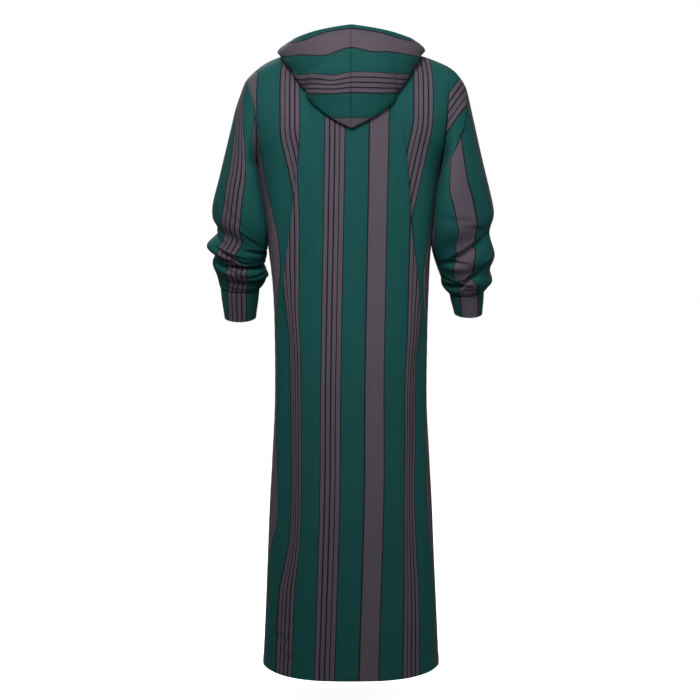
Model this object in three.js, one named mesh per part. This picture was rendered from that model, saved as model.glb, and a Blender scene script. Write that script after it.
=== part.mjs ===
import * as THREE from 'three';

// A hooded, long-sleeved striped kaftan, filled out as it is when worn. Millimetres, +Z up.
// The front faces -Y, the back +Y, and the wearer's left is +X. The origin lies level with the
// neck end of the shoulder seams, midway between them.

// ---------------------------------------------------------------- driving sizes
const WALL = 2;
const SEAM_GAP = 0.3;
const HEM_DROP = 1400;
const UNDERARM_DROP = 265;
const NECK_HALF_WIDTH = 90;
const NECK_SHARE = 0.28; // share of a panel's half that ends in the neck edge
const STAND_HEIGHT = 10; // the hood rises this far from its seam before it rolls over
const ROLL_REACH = 8;
const HOOD_CLEARANCE = 5;
const THROAT_GAP = 3; // between the front ends of the two halves
const SECTION_POWER = 0.86; // 1 gives an ellipse, less gives squarer sections
const SHOULDER_POWER = 1.6; // more moves the rise of a shoulder line out to its end
const SIDE_FADE = 0.2; // share of a panel's half over which its folds die out at the side seam
const CAP_RINGS = 2; // rings over which a sleeve's head takes up the armhole's form

const SIDES = {
  left: { sign: 1, tipX: 236, tipDrop: 78, shoulderRise: 16, scye: 12, hoodSpread: 1 },
  right: { sign: -1, tipX: 220, tipDrop: 48, shoulderRise: 4, scye: -2, hoodSpread: 1.07 },
};

const PANELS = {
  back: { sign: 1, neckReach: 62, neckDrop: 15, armholeReach: 72, shoulderColumns: 9, lowerRows: 25 },
  front: { sign: -1, neckReach: 100, neckDrop: 96, armholeReach: 64, shoulderColumns: 6, lowerRows: 20 },
};
const NECK_COLUMNS = 5;
const UPPER_ROWS = 12;

// Level sections of the body, from the underarm to the hem. "at" is the drop below the origin.
const BODY_SECTIONS = [
  { at: 265, left: 210, right: 203, back: 117, front: 120 },
  { at: 346, left: 200, right: 192, back: 113, front: 117 },
  { at: 403, left: 190, right: 185, back: 109, front: 114 },
  { at: 457, left: 185, right: 179, back: 106, front: 112 },
  { at: 540, left: 176, right: 175, back: 104, front: 110 },
  { at: 628, left: 172, right: 172, back: 104, front: 110 },
  { at: 797, left: 171, right: 170, back: 108, front: 112 },
  { at: 910, left: 176, right: 175, back: 113, front: 115 },
  { at: 1021, left: 182, right: 181, back: 120, front: 119 },
  { at: 1145, left: 187, right: 186, back: 126, front: 124 },
  { at: 1260, left: 191, right: 191, back: 132, front: 128 },
  { at: 1400, left: 197, right: 197, back: 138, front: 133 },
];

// Centre lines of the panels from the underarm level, at 0, to the neck edge, at 1.
const CENTRE_LINES = {
  back: [
    { at: 0, reach: 117, drop: 265 },
    { at: 0.35, reach: 120, drop: 180 },
    { at: 0.65, reach: 110, drop: 104 },
    { at: 0.85, reach: 89, drop: 52 },
    { at: 1, reach: 62, drop: 15 },
  ],
  front: [
    { at: 0, reach: 120, drop: 265 },
    { at: 0.4, reach: 120, drop: 200 },
    { at: 0.75, reach: 112, drop: 140 },
    { at: 1, reach: 100, drop: 96 },
  ],
};

// Long soft folds that run down a panel. "at" is the drop, x the place across, in the side's own sense.
const BODY_FOLDS = [
  {
    panel: 'back',
    side: 'left',
    rows: [
      { at: 120, x: 112, depth: 0, width: 16 },
      { at: 205, x: 118, depth: 8, width: 14 },
      { at: 331, x: 126, depth: 13, width: 13 },
      { at: 464, x: 143, depth: 8, width: 15 },
      { at: 560, x: 140, depth: 6, width: 16 },
      { at: 760, x: 125, depth: 7, width: 16 },
      { at: 1020, x: 122, depth: 7, width: 17 },
      { at: 1230, x: 132, depth: 3, width: 20 },
      { at: 1400, x: 140, depth: 0, width: 22 },
    ],
  },
  {
    panel: 'back',
    side: 'right',
    rows: [
      { at: 120, x: 106, depth: 0, width: 16 },
      { at: 194, x: 111, depth: 6, width: 14 },
      { at: 270, x: 124, depth: 11, width: 13 },
      { at: 390, x: 131, depth: 14, width: 13 },
      { at: 470, x: 134, depth: 11, width: 14 },
      { at: 600, x: 132, depth: 7, width: 16 },
      { at: 800, x: 128, depth: 7, width: 16 },
      { at: 1020, x: 124, depth: 7, width: 17 },
      { at: 1230, x: 128, depth: 3, width: 20 },
      { at: 1400, x: 132, depth: 0, width: 22 },
    ],
  },
  {
    panel: 'front',
    side: 'left',
    rows: [
      { at: 170, x: 120, depth: 0, width: 20 },
      { at: 320, x: 130, depth: 9, width: 20 },
      { at: 520, x: 128, depth: 7, width: 22 },
      { at: 900, x: 112, depth: 7, width: 24 },
      { at: 1220, x: 118, depth: 4, width: 26 },
      { at: 1400, x: 122, depth: 0, width: 26 },
    ],
  },
  {
    panel: 'front',
    side: 'right',
    rows: [
      { at: 170, x: 112, depth: 0, width: 20 },
      { at: 300, x: 124, depth: 8, width: 20 },
      { at: 480, x: 130, depth: 8, width: 22 },
      { at: 820, x: 120, depth: 6, width: 24 },
      { at: 1180, x: 114, depth: 5, width: 26 },
      { at: 1400, x: 118, depth: 0, width: 26 },
    ],
  },
];

// Rings of the sleeves, from the armhole to the cuff seam. Each ring runs through its outermost point
// and its point nearest the body, which lies "lead" behind the middle, "midY". "half" is half the ring's
// depth and "tilt" its lean in degrees.
const SLEEVE_RINGS = {
  left: [
    { at: 0, outX: 236, outDrop: 78, inX: 210, inDrop: 265, midY: 0, half: 68, tilt: 0, lead: 0 },
    { at: 1, outX: 248, outDrop: 108, inX: 212, inDrop: 274, midY: 3, half: 68, tilt: 0, lead: 6 },
    { at: 2, outX: 260, outDrop: 144, inX: 210, inDrop: 292, midY: 7, half: 66, tilt: 0, lead: 12 },
    { at: 3, outX: 271, outDrop: 189, inX: 203, inDrop: 316, midY: 11, half: 64, tilt: 0, lead: 18 },
    { at: 4, outX: 284, outDrop: 243, inX: 198, inDrop: 346, midY: 14, half: 62, tilt: 0, lead: 20 },
    { at: 5, outX: 297, outDrop: 297, inX: 193, inDrop: 378, midY: 14, half: 61, tilt: 3, lead: 20 },
    { at: 6, outX: 311, outDrop: 351, inX: 188, inDrop: 410, midY: 9, half: 60, tilt: 8, lead: 18 },
    { at: 7, outX: 312, outDrop: 384, inX: 187.5, inDrop: 432, midY: 1, half: 59, tilt: 12, lead: 12 },
    { at: 8, outX: 302, outDrop: 411, inX: 188, inDrop: 452, midY: -11, half: 54, tilt: 15, lead: 6 },
    { at: 9, outX: 326, outDrop: 446, inX: 191, inDrop: 470, midY: -25, half: 60, tilt: 17, lead: 0 },
    { at: 10, outX: 310, outDrop: 466, inX: 195, inDrop: 486, midY: -37, half: 53, tilt: 19, lead: 0 },
    { at: 11, outX: 316, outDrop: 484, inX: 193, inDrop: 500, midY: -46, half: 58, tilt: 20, lead: 0 },
    { at: 12, outX: 306, outDrop: 512, inX: 189, inDrop: 516, midY: -59, half: 52, tilt: 20, lead: 0 },
    { at: 13, outX: 299, outDrop: 541, inX: 210, inDrop: 543, midY: -71, half: 40, tilt: 20, lead: 0 },
  ],
  right: [
    { at: 0, outX: 220, outDrop: 48, inX: 203, inDrop: 265, midY: 0, half: 68, tilt: 0, lead: 0 },
    { at: 1, outX: 239, outDrop: 64, inX: 205, inDrop: 275, midY: 3, half: 68, tilt: 0, lead: 6 },
    { at: 2, outX: 260, outDrop: 98, inX: 203, inDrop: 292, midY: 7, half: 67, tilt: 0, lead: 12 },
    { at: 3, outX: 276, outDrop: 166, inX: 195, inDrop: 316, midY: 11, half: 65, tilt: 0, lead: 18 },
    { at: 4, outX: 293, outDrop: 243, inX: 190, inDrop: 346, midY: 14, half: 63, tilt: 0, lead: 20 },
    { at: 5, outX: 306, outDrop: 297, inX: 187, inDrop: 376, midY: 14, half: 61, tilt: 3, lead: 20 },
    { at: 6, outX: 319, outDrop: 351, inX: 183.5, inDrop: 408, midY: 9, half: 60, tilt: 8, lead: 18 },
    { at: 7, outX: 322, outDrop: 380, inX: 182, inDrop: 432, midY: 1, half: 60, tilt: 12, lead: 12 },
    { at: 8, outX: 313, outDrop: 419, inX: 182, inDrop: 454, midY: -12, half: 54, tilt: 15, lead: 6 },
    { at: 9, outX: 326, outDrop: 466, inX: 190, inDrop: 480, midY: -31, half: 60, tilt: 17, lead: 0 },
    { at: 10, outX: 317, outDrop: 497, inX: 198, inDrop: 500, midY: -46, half: 54, tilt: 19, lead: 0 },
    { at: 11, outX: 323, outDrop: 523, inX: 204, inDrop: 514, midY: -58, half: 56, tilt: 20, lead: 0 },
    { at: 12, outX: 314, outDrop: 537, inX: 208, inDrop: 534, midY: -67, half: 48, tilt: 20, lead: 0 },
    { at: 13, outX: 305, outDrop: 547, inX: 226, inDrop: 553, midY: -74, half: 39, tilt: 20, lead: 0 },
  ],
};
const RINGS_PER_ROW = 2;

// Slack of the forearm pushed up into cross folds. "at" is the ring and "turn" the middle of the fold, in
// degrees round the sleeve: 0 outermost, 90 at the back. "span" is its half length, "slant" rings a degree.
const SLEEVE_FOLDS = {
  left: [
    { at: 8.3, turn: 60, span: 95, depth: 6, width: 0.42, slant: 0.006 },
    { at: 10, turn: 95, span: 110, depth: 10, width: 0.45, slant: -0.003 },
    { at: 11.9, turn: 110, span: 100, depth: 6, width: 0.45, slant: 0.002 },
    { at: 9.2, turn: 265, span: 90, depth: 7, width: 0.5, slant: 0.004 },
    { at: 11.2, turn: 285, span: 100, depth: 7, width: 0.5, slant: -0.003 },
  ],
  right: [
    { at: 8.3, turn: 75, span: 105, depth: 9, width: 0.45, slant: 0.007 },
    { at: 10.2, turn: 80, span: 90, depth: 8, width: 0.45, slant: 0.01 },
    { at: 12, turn: 120, span: 90, depth: 5, width: 0.45, slant: 0 },
    { at: 9.4, turn: 270, span: 95, depth: 7, width: 0.5, slant: -0.004 },
    { at: 11.3, turn: 250, span: 90, depth: 6, width: 0.5, slant: 0.004 },
  ],
};

const CUFFS = {
  left: { endDrop: 608, endOutX: 292, endInX: 219, endMidY: -94, endHalf: 37 },
  right: { endDrop: 599, endOutX: 303, endInX: 238, endMidY: -91, endHalf: 35 },
};
const CUFF_ROWS = 3;

// The hood, laid back. "at" runs round the neck from the centre back, 0, over the shoulder seam, 0.5, to
// the throat, 1. The fold is where the hood turns up again from the panel below it, given across the
// panel and up it; the rim is its free edge, and "swell" is how far it stands out between the two.
const HOOD_STATIONS = [
  { at: 0, foldAcross: 0, foldUp: 0.255, rimX: 0, rimY: 141, rimZ: 19, swell: 16 },
  { at: 0.1, foldAcross: 0.14, foldUp: 0.40, rimX: 42, rimY: 138, rimZ: 13, swell: 16 },
  { at: 0.2, foldAcross: 0.27, foldUp: 0.56, rimX: 78, rimY: 124, rimZ: 8, swell: 15 },
  { at: 0.3, foldAcross: 0.40, foldUp: 0.72, rimX: 108, rimY: 100, rimZ: 3, swell: 13 },
  { at: 0.4, foldAcross: 0.52, foldUp: 0.86, rimX: 128, rimY: 64, rimZ: 2, swell: 11 },
  { at: 0.5, foldAcross: 0.62, foldUp: 1, rimX: 130, rimY: 12, rimZ: 6, swell: 9 },
  { at: 0.6, foldAcross: 0.52, foldUp: 0.86, rimX: 116, rimY: -36, rimZ: 2, swell: 8 },
  { at: 0.75, foldAcross: 0.33, foldUp: 0.78, rimX: 84, rimY: -84, rimZ: -26, swell: 7 },
  { at: 0.9, foldAcross: 0.16, foldUp: 0.80, rimX: 38, rimY: -112, rimZ: -66, swell: 6 },
  { at: 1, foldAcross: 0.05, foldUp: 0.86, rimX: 8, rimY: -121, rimZ: -84, swell: 5 },
];
const HOOD_ROWS_PER_KEY = 2;

// The hood's profile at each station: up from the neck seam, down over the panel to the fold, then up
// to the rim. "share" runs from the seam to the fold, and after it from the fold to the rim.
const HOOD_STAND = [
  { height: 2 * SEAM_GAP, reach: 0 },
  { height: STAND_HEIGHT, reach: 0.5 },
  { height: STAND_HEIGHT + 2, reach: ROLL_REACH },
];
const HOOD_UNDER = [
  { share: 0.35, clearance: HOOD_CLEARANCE + 3 },
  { share: 0.72, clearance: HOOD_CLEARANCE },
  { share: 1, clearance: HOOD_CLEARANCE + 4 },
];
const HOOD_OVER = [
  { share: 0.3, swell: 1 },
  { share: 0.68, swell: 0.9 },
];

// ---------------------------------------------------------------- curves and small helpers
const radians = THREE.MathUtils.degToRad;
const mix = THREE.MathUtils.lerp;

// A smooth curve through one named column of a table whose rows are ordered by "at".
function through(rows, column, at) {
  const last = rows.length - 1;
  let k = 0;
  while (k < last - 1 && at > rows[k + 1].at) k += 1;
  const from = rows[k];
  const to = rows[k + 1];
  const slope = (n) => {
    const before = rows[Math.max(n - 1, 0)];
    const after = rows[Math.min(n + 1, last)];
    return (after[column] - before[column]) / (after.at - before.at);
  };
  const span = to.at - from.at;
  const t = THREE.MathUtils.clamp((at - from.at) / span, 0, 1);
  const rise = t * t * (3 - 2 * t);
  const lead = t * (1 - t) * (1 - t);
  const trail = t * t * (t - 1);
  return mix(from[column], to[column], rise) + span * (slope(k) * lead + slope(k + 1) * trail);
}

const bell = (distance) => Math.exp(-distance * distance);

// ---------------------------------------------------------------- the armholes
// "turn" is 0 at the shoulder tip, a quarter turn at the back and half a turn at the underarm.
function armhole(side, turn) {
  const { sign, tipX, tipDrop, scye } = SIDES[side];
  const underarmX = BODY_SECTIONS[0][side];
  const reach = Math.sin(turn) > 0 ? PANELS.back.armholeReach : PANELS.front.armholeReach;
  const middleX = (tipX + underarmX) / 2;
  const middleDrop = (tipDrop + UNDERARM_DROP) / 2;
  const x = middleX + ((tipX - underarmX) / 2) * Math.cos(turn) - scye * Math.sin(turn) ** 2;
  const z = -middleDrop + ((UNDERARM_DROP - tipDrop) / 2) * Math.cos(turn);
  return new THREE.Vector3(sign * x, reach * Math.sin(turn), z);
}

// Both edges of the armhole seam are cut square to the plane of the armhole.
const armholeOutward = (turn) => new THREE.Vector3(0, Math.sin(turn), Math.cos(turn));

// ---------------------------------------------------------------- the body panels
// A point of a panel's half: "across" is 0 at the centre and 1 at the side seam.
function levelPoint(panel, side, across, drop) {
  const angle = (across * Math.PI) / 2;
  const halfWidth = through(BODY_SECTIONS, side, drop);
  const reach = through(BODY_SECTIONS, panel, drop);
  const x = halfWidth * Math.sin(angle) ** SECTION_POWER;
  const y = reach * Math.max(Math.cos(angle), 0) ** SECTION_POWER;
  return new THREE.Vector3(SIDES[side].sign * x, PANELS[panel].sign * y, -drop);
}

// The upper edge of a panel's half: the neck edge, then the shoulder seam out to its tip.
function topEdge(panel, side, across) {
  const { sign, tipX, tipDrop, shoulderRise } = SIDES[side];
  const { neckReach, neckDrop } = PANELS[panel];
  if (across <= NECK_SHARE) {
    const angle = ((across / NECK_SHARE) * Math.PI) / 2;
    const y = PANELS[panel].sign * neckReach * Math.cos(angle);
    return new THREE.Vector3(sign * NECK_HALF_WIDTH * Math.sin(angle), y, -neckDrop * Math.cos(angle));
  }
  const t = (across - NECK_SHARE) / (1 - NECK_SHARE);
  const x = mix(NECK_HALF_WIDTH, tipX, t);
  const z = -tipDrop * t + shoulderRise * Math.sin(Math.PI * t ** SHOULDER_POWER);
  return new THREE.Vector3(sign * x, 0, z);
}

function centrePoint(panel, up) {
  const line = CENTRE_LINES[panel];
  return new THREE.Vector3(0, PANELS[panel].sign * through(line, 'reach', up), -through(line, 'drop', up));
}

// Above the underarm a half is the smooth patch between its four edges.
function upperPoint(panel, side, across, up) {
  const armholeTurn = PANELS[panel].sign * Math.PI * (1 - up);
  const corners = [
    [(1 - across) * (1 - up), centrePoint(panel, 0)],
    [across * (1 - up), armhole(side, Math.PI)],
    [(1 - across) * up, centrePoint(panel, 1)],
    [across * up, armhole(side, 0)],
  ];
  const point = centrePoint(panel, up).multiplyScalar(1 - across);
  point.addScaledVector(armhole(side, armholeTurn), across);
  point.addScaledVector(levelPoint(panel, side, across, UNDERARM_DROP), 1 - up);
  point.addScaledVector(topEdge(panel, side, across), up);
  for (const [weight, corner] of corners) point.addScaledVector(corner, -weight);
  return point;
}

// How far the long folds draw a panel in at one of its points.
function foldDepth(panel, side, point) {
  let depth = 0;
  for (const fold of BODY_FOLDS) {
    if (fold.panel !== panel || fold.side !== side) continue;
    const drop = THREE.MathUtils.clamp(-point.z, fold.rows[0].at, HEM_DROP);
    const offset = Math.abs(point.x) - through(fold.rows, 'x', drop);
    const deepest = Math.max(through(fold.rows, 'depth', drop), 0);
    depth += deepest * bell(offset / through(fold.rows, 'width', drop));
  }
  return depth;
}

// "up" runs from 0 at the hem to 1 at the underarm and 2 at the neck edge or shoulder seam.
function smoothPanelPoint(panel, side, across, up) {
  if (up > 1) return upperPoint(panel, side, across, up - 1);
  return levelPoint(panel, side, across, mix(HEM_DROP, UNDERARM_DROP, up));
}

function panelPoint(panel, side, across, up) {
  const point = smoothPanelPoint(panel, side, across, up);
  const edgeFade = THREE.MathUtils.smoothstep(1 - across, 0, SIDE_FADE);
  const depth = foldDepth(panel, side, point) * edgeFade;
  const inward = new THREE.Vector3(-Math.sign(point.x) * across, -PANELS[panel].sign, 0).normalize();
  point.addScaledVector(inward, depth);
  point.y += (PANELS[panel].sign * SEAM_GAP) / 2;
  return point;
}

// The direction in which a panel's edge is cut through its thickness, or null inside the panel.
function panelEdgeOutward(panel, side, across, up) {
  const { sign, tipX, tipDrop } = SIDES[side];
  if (across === 1 && up <= 1 - 1e-9) return new THREE.Vector3(sign, 0, 0);
  if (across === 1) return armholeOutward(PANELS[panel].sign * Math.PI * (2 - up));
  if (up < 2) return null;
  if (across <= NECK_SHARE + 1e-9) {
    const angle = ((across / NECK_SHARE) * Math.PI) / 2;
    return new THREE.Vector3(sign * Math.sin(angle), PANELS[panel].sign * Math.cos(angle), 0);
  }
  return new THREE.Vector3(sign * tipDrop, 0, tipX - NECK_HALF_WIDTH).normalize();
}

// ---------------------------------------------------------------- walls of cloth
// A closed wall from a grid of points on its outer face. The second index of the grid may run round.
// "mirrored" cuts the first and last columns square to the middle plane of the garment.
function clothWall(points, { round = false, mirrored = false, outwardAt = () => null, flip = false }) {
  const rowCount = points.length;
  const columnCount = points[0].length;
  const at = (r, c) => {
    const row = Math.min(Math.max(r, 0), rowCount - 1);
    const column = round ? (c + columnCount) % columnCount : Math.min(Math.max(c, 0), columnCount - 1);
    return points[row][column];
  };
  const outward = (r, c) => {
    const given = outwardAt(r, c);
    if (given) return given;
    const alongRow = at(r, c + 1).clone().sub(at(r, c - 1));
    const upColumn = at(r + 1, c).clone().sub(at(r - 1, c));
    const normal = alongRow.cross(upColumn).multiplyScalar(flip ? -1 : 1);
    if (mirrored && (c === 0 || c === columnCount - 1)) normal.x = 0;
    return normal.normalize();
  };
  const positions = [];
  for (const inner of [false, true]) {
    for (let r = 0; r < rowCount; r += 1) {
      for (let c = 0; c < columnCount; c += 1) {
        const point = points[r][c].clone();
        if (inner) point.addScaledVector(outward(r, c), -WALL);
        positions.push(point.x, point.y, point.z);
      }
    }
  }
  const index = [];
  const quad = (a, b, c, d) => {
    if (flip) index.push(a, c, b, a, d, c);
    else index.push(a, b, c, a, c, d);
  };
  const outer = (r, c) => r * columnCount + (c % columnCount);
  const inner = (r, c) => rowCount * columnCount + outer(r, c);
  const columnSteps = round ? columnCount : columnCount - 1;
  for (let r = 0; r < rowCount - 1; r += 1) {
    for (let c = 0; c < columnSteps; c += 1) {
      quad(outer(r, c), outer(r, c + 1), outer(r + 1, c + 1), outer(r + 1, c));
      quad(inner(r, c), inner(r + 1, c), inner(r + 1, c + 1), inner(r, c + 1));
    }
  }
  const top = rowCount - 1;
  for (let c = 0; c < columnSteps; c += 1) {
    quad(outer(0, c), inner(0, c), inner(0, c + 1), outer(0, c + 1));
    quad(outer(top, c), outer(top, c + 1), inner(top, c + 1), inner(top, c));
  }
  if (!round) {
    const end = columnCount - 1;
    for (let r = 0; r < top; r += 1) {
      quad(outer(r, 0), outer(r + 1, 0), inner(r + 1, 0), inner(r, 0));
      quad(outer(r, end), inner(r, end), inner(r + 1, end), outer(r + 1, end));
    }
  }
  const geometry = new THREE.BufferGeometry();
  geometry.setAttribute('position', new THREE.Float32BufferAttribute(positions, 3));
  geometry.setIndex(index);
  geometry.computeVertexNormals();
  return geometry;
}

const CLOTH_GREEN = { color: 0x225c57, roughness: 0.72, metalness: 0 };
const CLOTH_TAUPE = { color: 0x665b64, roughness: 0.72, metalness: 0 };

function clothMesh(name, geometry, finish) {
  const mesh = new THREE.Mesh(geometry, new THREE.MeshStandardMaterial(finish));
  mesh.name = name;
  return mesh;
}

// ---------------------------------------------------------------- back and front
function halfStations(shoulderColumns) {
  const stations = [];
  for (let c = 0; c <= NECK_COLUMNS; c += 1) stations.push((NECK_SHARE * c) / NECK_COLUMNS);
  for (let c = 1; c <= shoulderColumns; c += 1) stations.push(mix(NECK_SHARE, 1, c / shoulderColumns));
  return stations;
}

function panelMesh(panel) {
  const { lowerRows, shoulderColumns, sign } = PANELS[panel];
  const half = halfStations(shoulderColumns);
  const stations = [];
  for (const across of half.slice(1).reverse()) stations.push({ side: 'right', across });
  for (const across of half) stations.push({ side: 'left', across });
  const heights = [];
  for (let r = 0; r < lowerRows; r += 1) heights.push(r / lowerRows);
  for (let r = 0; r <= UPPER_ROWS; r += 1) heights.push(1 + r / UPPER_ROWS);
  const points = heights.map((up) => stations.map(({ side, across }) => panelPoint(panel, side, across, up)));
  const outwardAt = (r, c) => panelEdgeOutward(panel, stations[c].side, stations[c].across, heights[r]);
  return clothMesh(panel, clothWall(points, { outwardAt, flip: sign > 0 }), CLOTH_GREEN);
}

// ---------------------------------------------------------------- sleeves and cuffs
const ROUND_COLUMNS = 2 * UPPER_ROWS;

function ringPoint(side, ring, turn) {
  const { sign } = SIDES[side];
  const outer = new THREE.Vector3(sign * ring.outX, ring.midY - ring.lead, -ring.outDrop);
  const inner = new THREE.Vector3(sign * ring.inX, ring.midY + ring.lead, -ring.inDrop);
  const lean = radians(ring.tilt);
  const depth = new THREE.Vector3(0, Math.cos(lean), -Math.sin(lean)).multiplyScalar(ring.half);
  const point = outer.clone().add(inner).multiplyScalar(0.5);
  point.addScaledVector(outer.sub(inner).multiplyScalar(0.5), Math.cos(turn));
  return point.addScaledVector(depth, Math.sin(turn));
}

function sleeveRing(side, at) {
  const ring = {};
  for (const column of ['outX', 'outDrop', 'inX', 'inDrop', 'midY', 'half', 'tilt', 'lead']) {
    ring[column] = through(SLEEVE_RINGS[side], column, at);
  }
  return ring;
}

function sleeveFoldDepth(side, at, turn) {
  let depth = 0;
  for (const fold of SLEEVE_FOLDS[side]) {
    const away = ((THREE.MathUtils.radToDeg(turn) - fold.turn + 540) % 360) - 180;
    if (Math.abs(away) > fold.span) continue;
    const fade = Math.cos((away / fold.span) * (Math.PI / 2)) ** 2;
    depth += fold.depth * fade * bell((at - fold.at - fold.slant * away) / fold.width);
  }
  return depth;
}

function sleevePoint(side, at, turn) {
  const ring = sleeveRing(side, at);
  const middle = ringPoint(side, ring, turn).add(ringPoint(side, ring, turn + Math.PI)).multiplyScalar(0.5);
  const point = ringPoint(side, ring, turn);
  const inward = middle.sub(point).normalize();
  point.addScaledVector(inward, sleeveFoldDepth(side, at, turn));
  const capShare = THREE.MathUtils.smoothstep(CAP_RINGS - at, 0, CAP_RINGS);
  const capShift = armhole(side, turn).sub(ringPoint(side, sleeveRing(side, 0), turn));
  point.addScaledVector(capShift, capShare);
  point.x += SIDES[side].sign * SEAM_GAP;
  return point;
}

function ringOutward(side, ring, turn) {
  const point = ringPoint(side, ring, turn);
  return point.sub(ringPoint(side, ring, turn + Math.PI)).normalize();
}

const roundTurns = Array.from({ length: ROUND_COLUMNS }, (_, c) => (2 * Math.PI * c) / ROUND_COLUMNS);

function sleeveMesh(side) {
  const lastAt = SLEEVE_RINGS[side].length - 1;
  const rings = [];
  for (let r = 0; r <= lastAt * RINGS_PER_ROW; r += 1) rings.push(r / RINGS_PER_ROW);
  const points = rings.map((at) => roundTurns.map((turn) => sleevePoint(side, at, turn)));
  const outwardAt = (r, c) => {
    if (r === 0) return armholeOutward(roundTurns[c]);
    if (r === rings.length - 1) return ringOutward(side, sleeveRing(side, lastAt), roundTurns[c]);
    return null;
  };
  const geometry = clothWall(points, { round: true, outwardAt, flip: side === 'left' });
  return clothMesh(`sleeve_${side}`, geometry, CLOTH_GREEN);
}

function cuffRing(side, t) {
  const start = sleeveRing(side, SLEEVE_RINGS[side].length - 1);
  const { endDrop, endOutX, endInX, endMidY, endHalf } = CUFFS[side];
  return {
    outX: mix(start.outX, endOutX, t),
    outDrop: mix(start.outDrop + SEAM_GAP, endDrop, t),
    inX: mix(start.inX, endInX, t),
    inDrop: mix(start.inDrop + SEAM_GAP, endDrop, t),
    midY: mix(start.midY, endMidY, t),
    lead: 0,
    half: mix(start.half, endHalf, t),
    tilt: start.tilt,
  };
}

function cuffMesh(side) {
  const rings = Array.from({ length: CUFF_ROWS + 1 }, (_, r) => cuffRing(side, r / CUFF_ROWS));
  const gap = SIDES[side].sign * SEAM_GAP;
  const points = rings.map((ring) => roundTurns.map((turn) => {
    const point = ringPoint(side, ring, turn);
    point.x += gap;
    return point;
  }));
  const outwardAt = (r, c) => ringOutward(side, rings[r], roundTurns[c]);
  const geometry = clothWall(points, { round: true, outwardAt, flip: side === 'left' });
  return clothMesh(`cuff_${side}`, geometry, CLOTH_TAUPE);
}

// ---------------------------------------------------------------- the hood
// The hood's seam follows the neck edge of the back panel, then that of the front panel.
function hoodSeat(at) {
  if (at <= 0.5) return { panel: 'back', across: NECK_SHARE * (at / 0.5) };
  return { panel: 'front', across: NECK_SHARE * ((1 - at) / 0.5) };
}

// A point just clear of the panel under the hood.
function clearPoint(panel, side, across, up, clearance) {
  const step = 0.01;
  const point = smoothPanelPoint(panel, side, across, 1 + up);
  const lower = smoothPanelPoint(panel, side, across, 1 + up - step);
  const wider = smoothPanelPoint(panel, side, Math.min(across + step, 1), 1 + up);
  const narrower = smoothPanelPoint(panel, side, Math.max(across - step, 0), 1 + up);
  const outward = wider.sub(narrower).cross(point.clone().sub(lower)).normalize();
  const facing = Math.sign(outward.dot(new THREE.Vector3(0, PANELS[panel].sign, 1)));
  return point.addScaledVector(outward, facing * clearance);
}

function hoodKeys(side, at) {
  const { sign, hoodSpread } = SIDES[side];
  const station = (column) => through(HOOD_STATIONS, column, at);
  const { panel, across } = hoodSeat(at);
  const seat = topEdge(panel, side, across);
  const outward = panelEdgeOutward(panel, side, across, 2);
  const foldAcross = station('foldAcross') * hoodSpread;
  const foldUp = Math.min(station('foldUp'), 1);
  const rim = new THREE.Vector3(sign * hoodSpread * station('rimX'), station('rimY'), station('rimZ'));
  const stand = HOOD_STAND.map(({ height, reach }) => (
    seat.clone().addScaledVector(outward, reach).add(new THREE.Vector3(0, 0, height))
  ));
  const under = HOOD_UNDER.map(({ share, clearance }) => (
    clearPoint(panel, side, mix(across, foldAcross, share), mix(1, foldUp, share), clearance)
  ));
  const fold = under[under.length - 1];
  const over = HOOD_OVER.map(({ share, swell }) => (
    fold.clone().lerp(rim, share).addScaledVector(outward, swell * station('swell'))
  ));
  return [...stand, ...under, ...over, rim];
}

function hoodPoint(side, at, row) {
  const keys = hoodKeys(side, at).map((key, k) => ({ at: k, x: key.x, y: key.y, z: key.z }));
  const point = new THREE.Vector3(...['x', 'y', 'z'].map((axis) => through(keys, axis, row)));
  const fromMiddle = at === 0 ? 0 : Math.max(Math.abs(point.x), at > 0.5 ? THROAT_GAP / 2 : 0);
  point.x = SIDES[side].sign * (fromMiddle + SEAM_GAP / 2);
  return point;
}

function hoodMesh(side) {
  const columns = [];
  for (let c = 0; c <= 2 * NECK_COLUMNS; c += 1) columns.push(c / (2 * NECK_COLUMNS));
  const keyCount = hoodKeys(side, 0).length;
  const rows = [];
  for (let r = 0; r <= (keyCount - 1) * HOOD_ROWS_PER_KEY; r += 1) rows.push(r / HOOD_ROWS_PER_KEY);
  const points = rows.map((row) => columns.map((at) => hoodPoint(side, at, row)));
  const outwardAt = (r, c) => {
    if (r > 0) return null;
    const { panel, across } = hoodSeat(columns[c]);
    return panelEdgeOutward(panel, side, across, 2);
  };
  const geometry = clothWall(points, { mirrored: true, outwardAt, flip: side === 'left' });
  return clothMesh(`hood_${side}`, geometry, CLOTH_TAUPE);
}

// ---------------------------------------------------------------- the garment
const kaftan = new THREE.Group();
kaftan.add(panelMesh('back'), panelMesh('front'));
for (const side of ['left', 'right']) kaftan.add(sleeveMesh(side), cuffMesh(side), hoodMesh(side));

export default kaftan;
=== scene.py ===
import math

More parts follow.
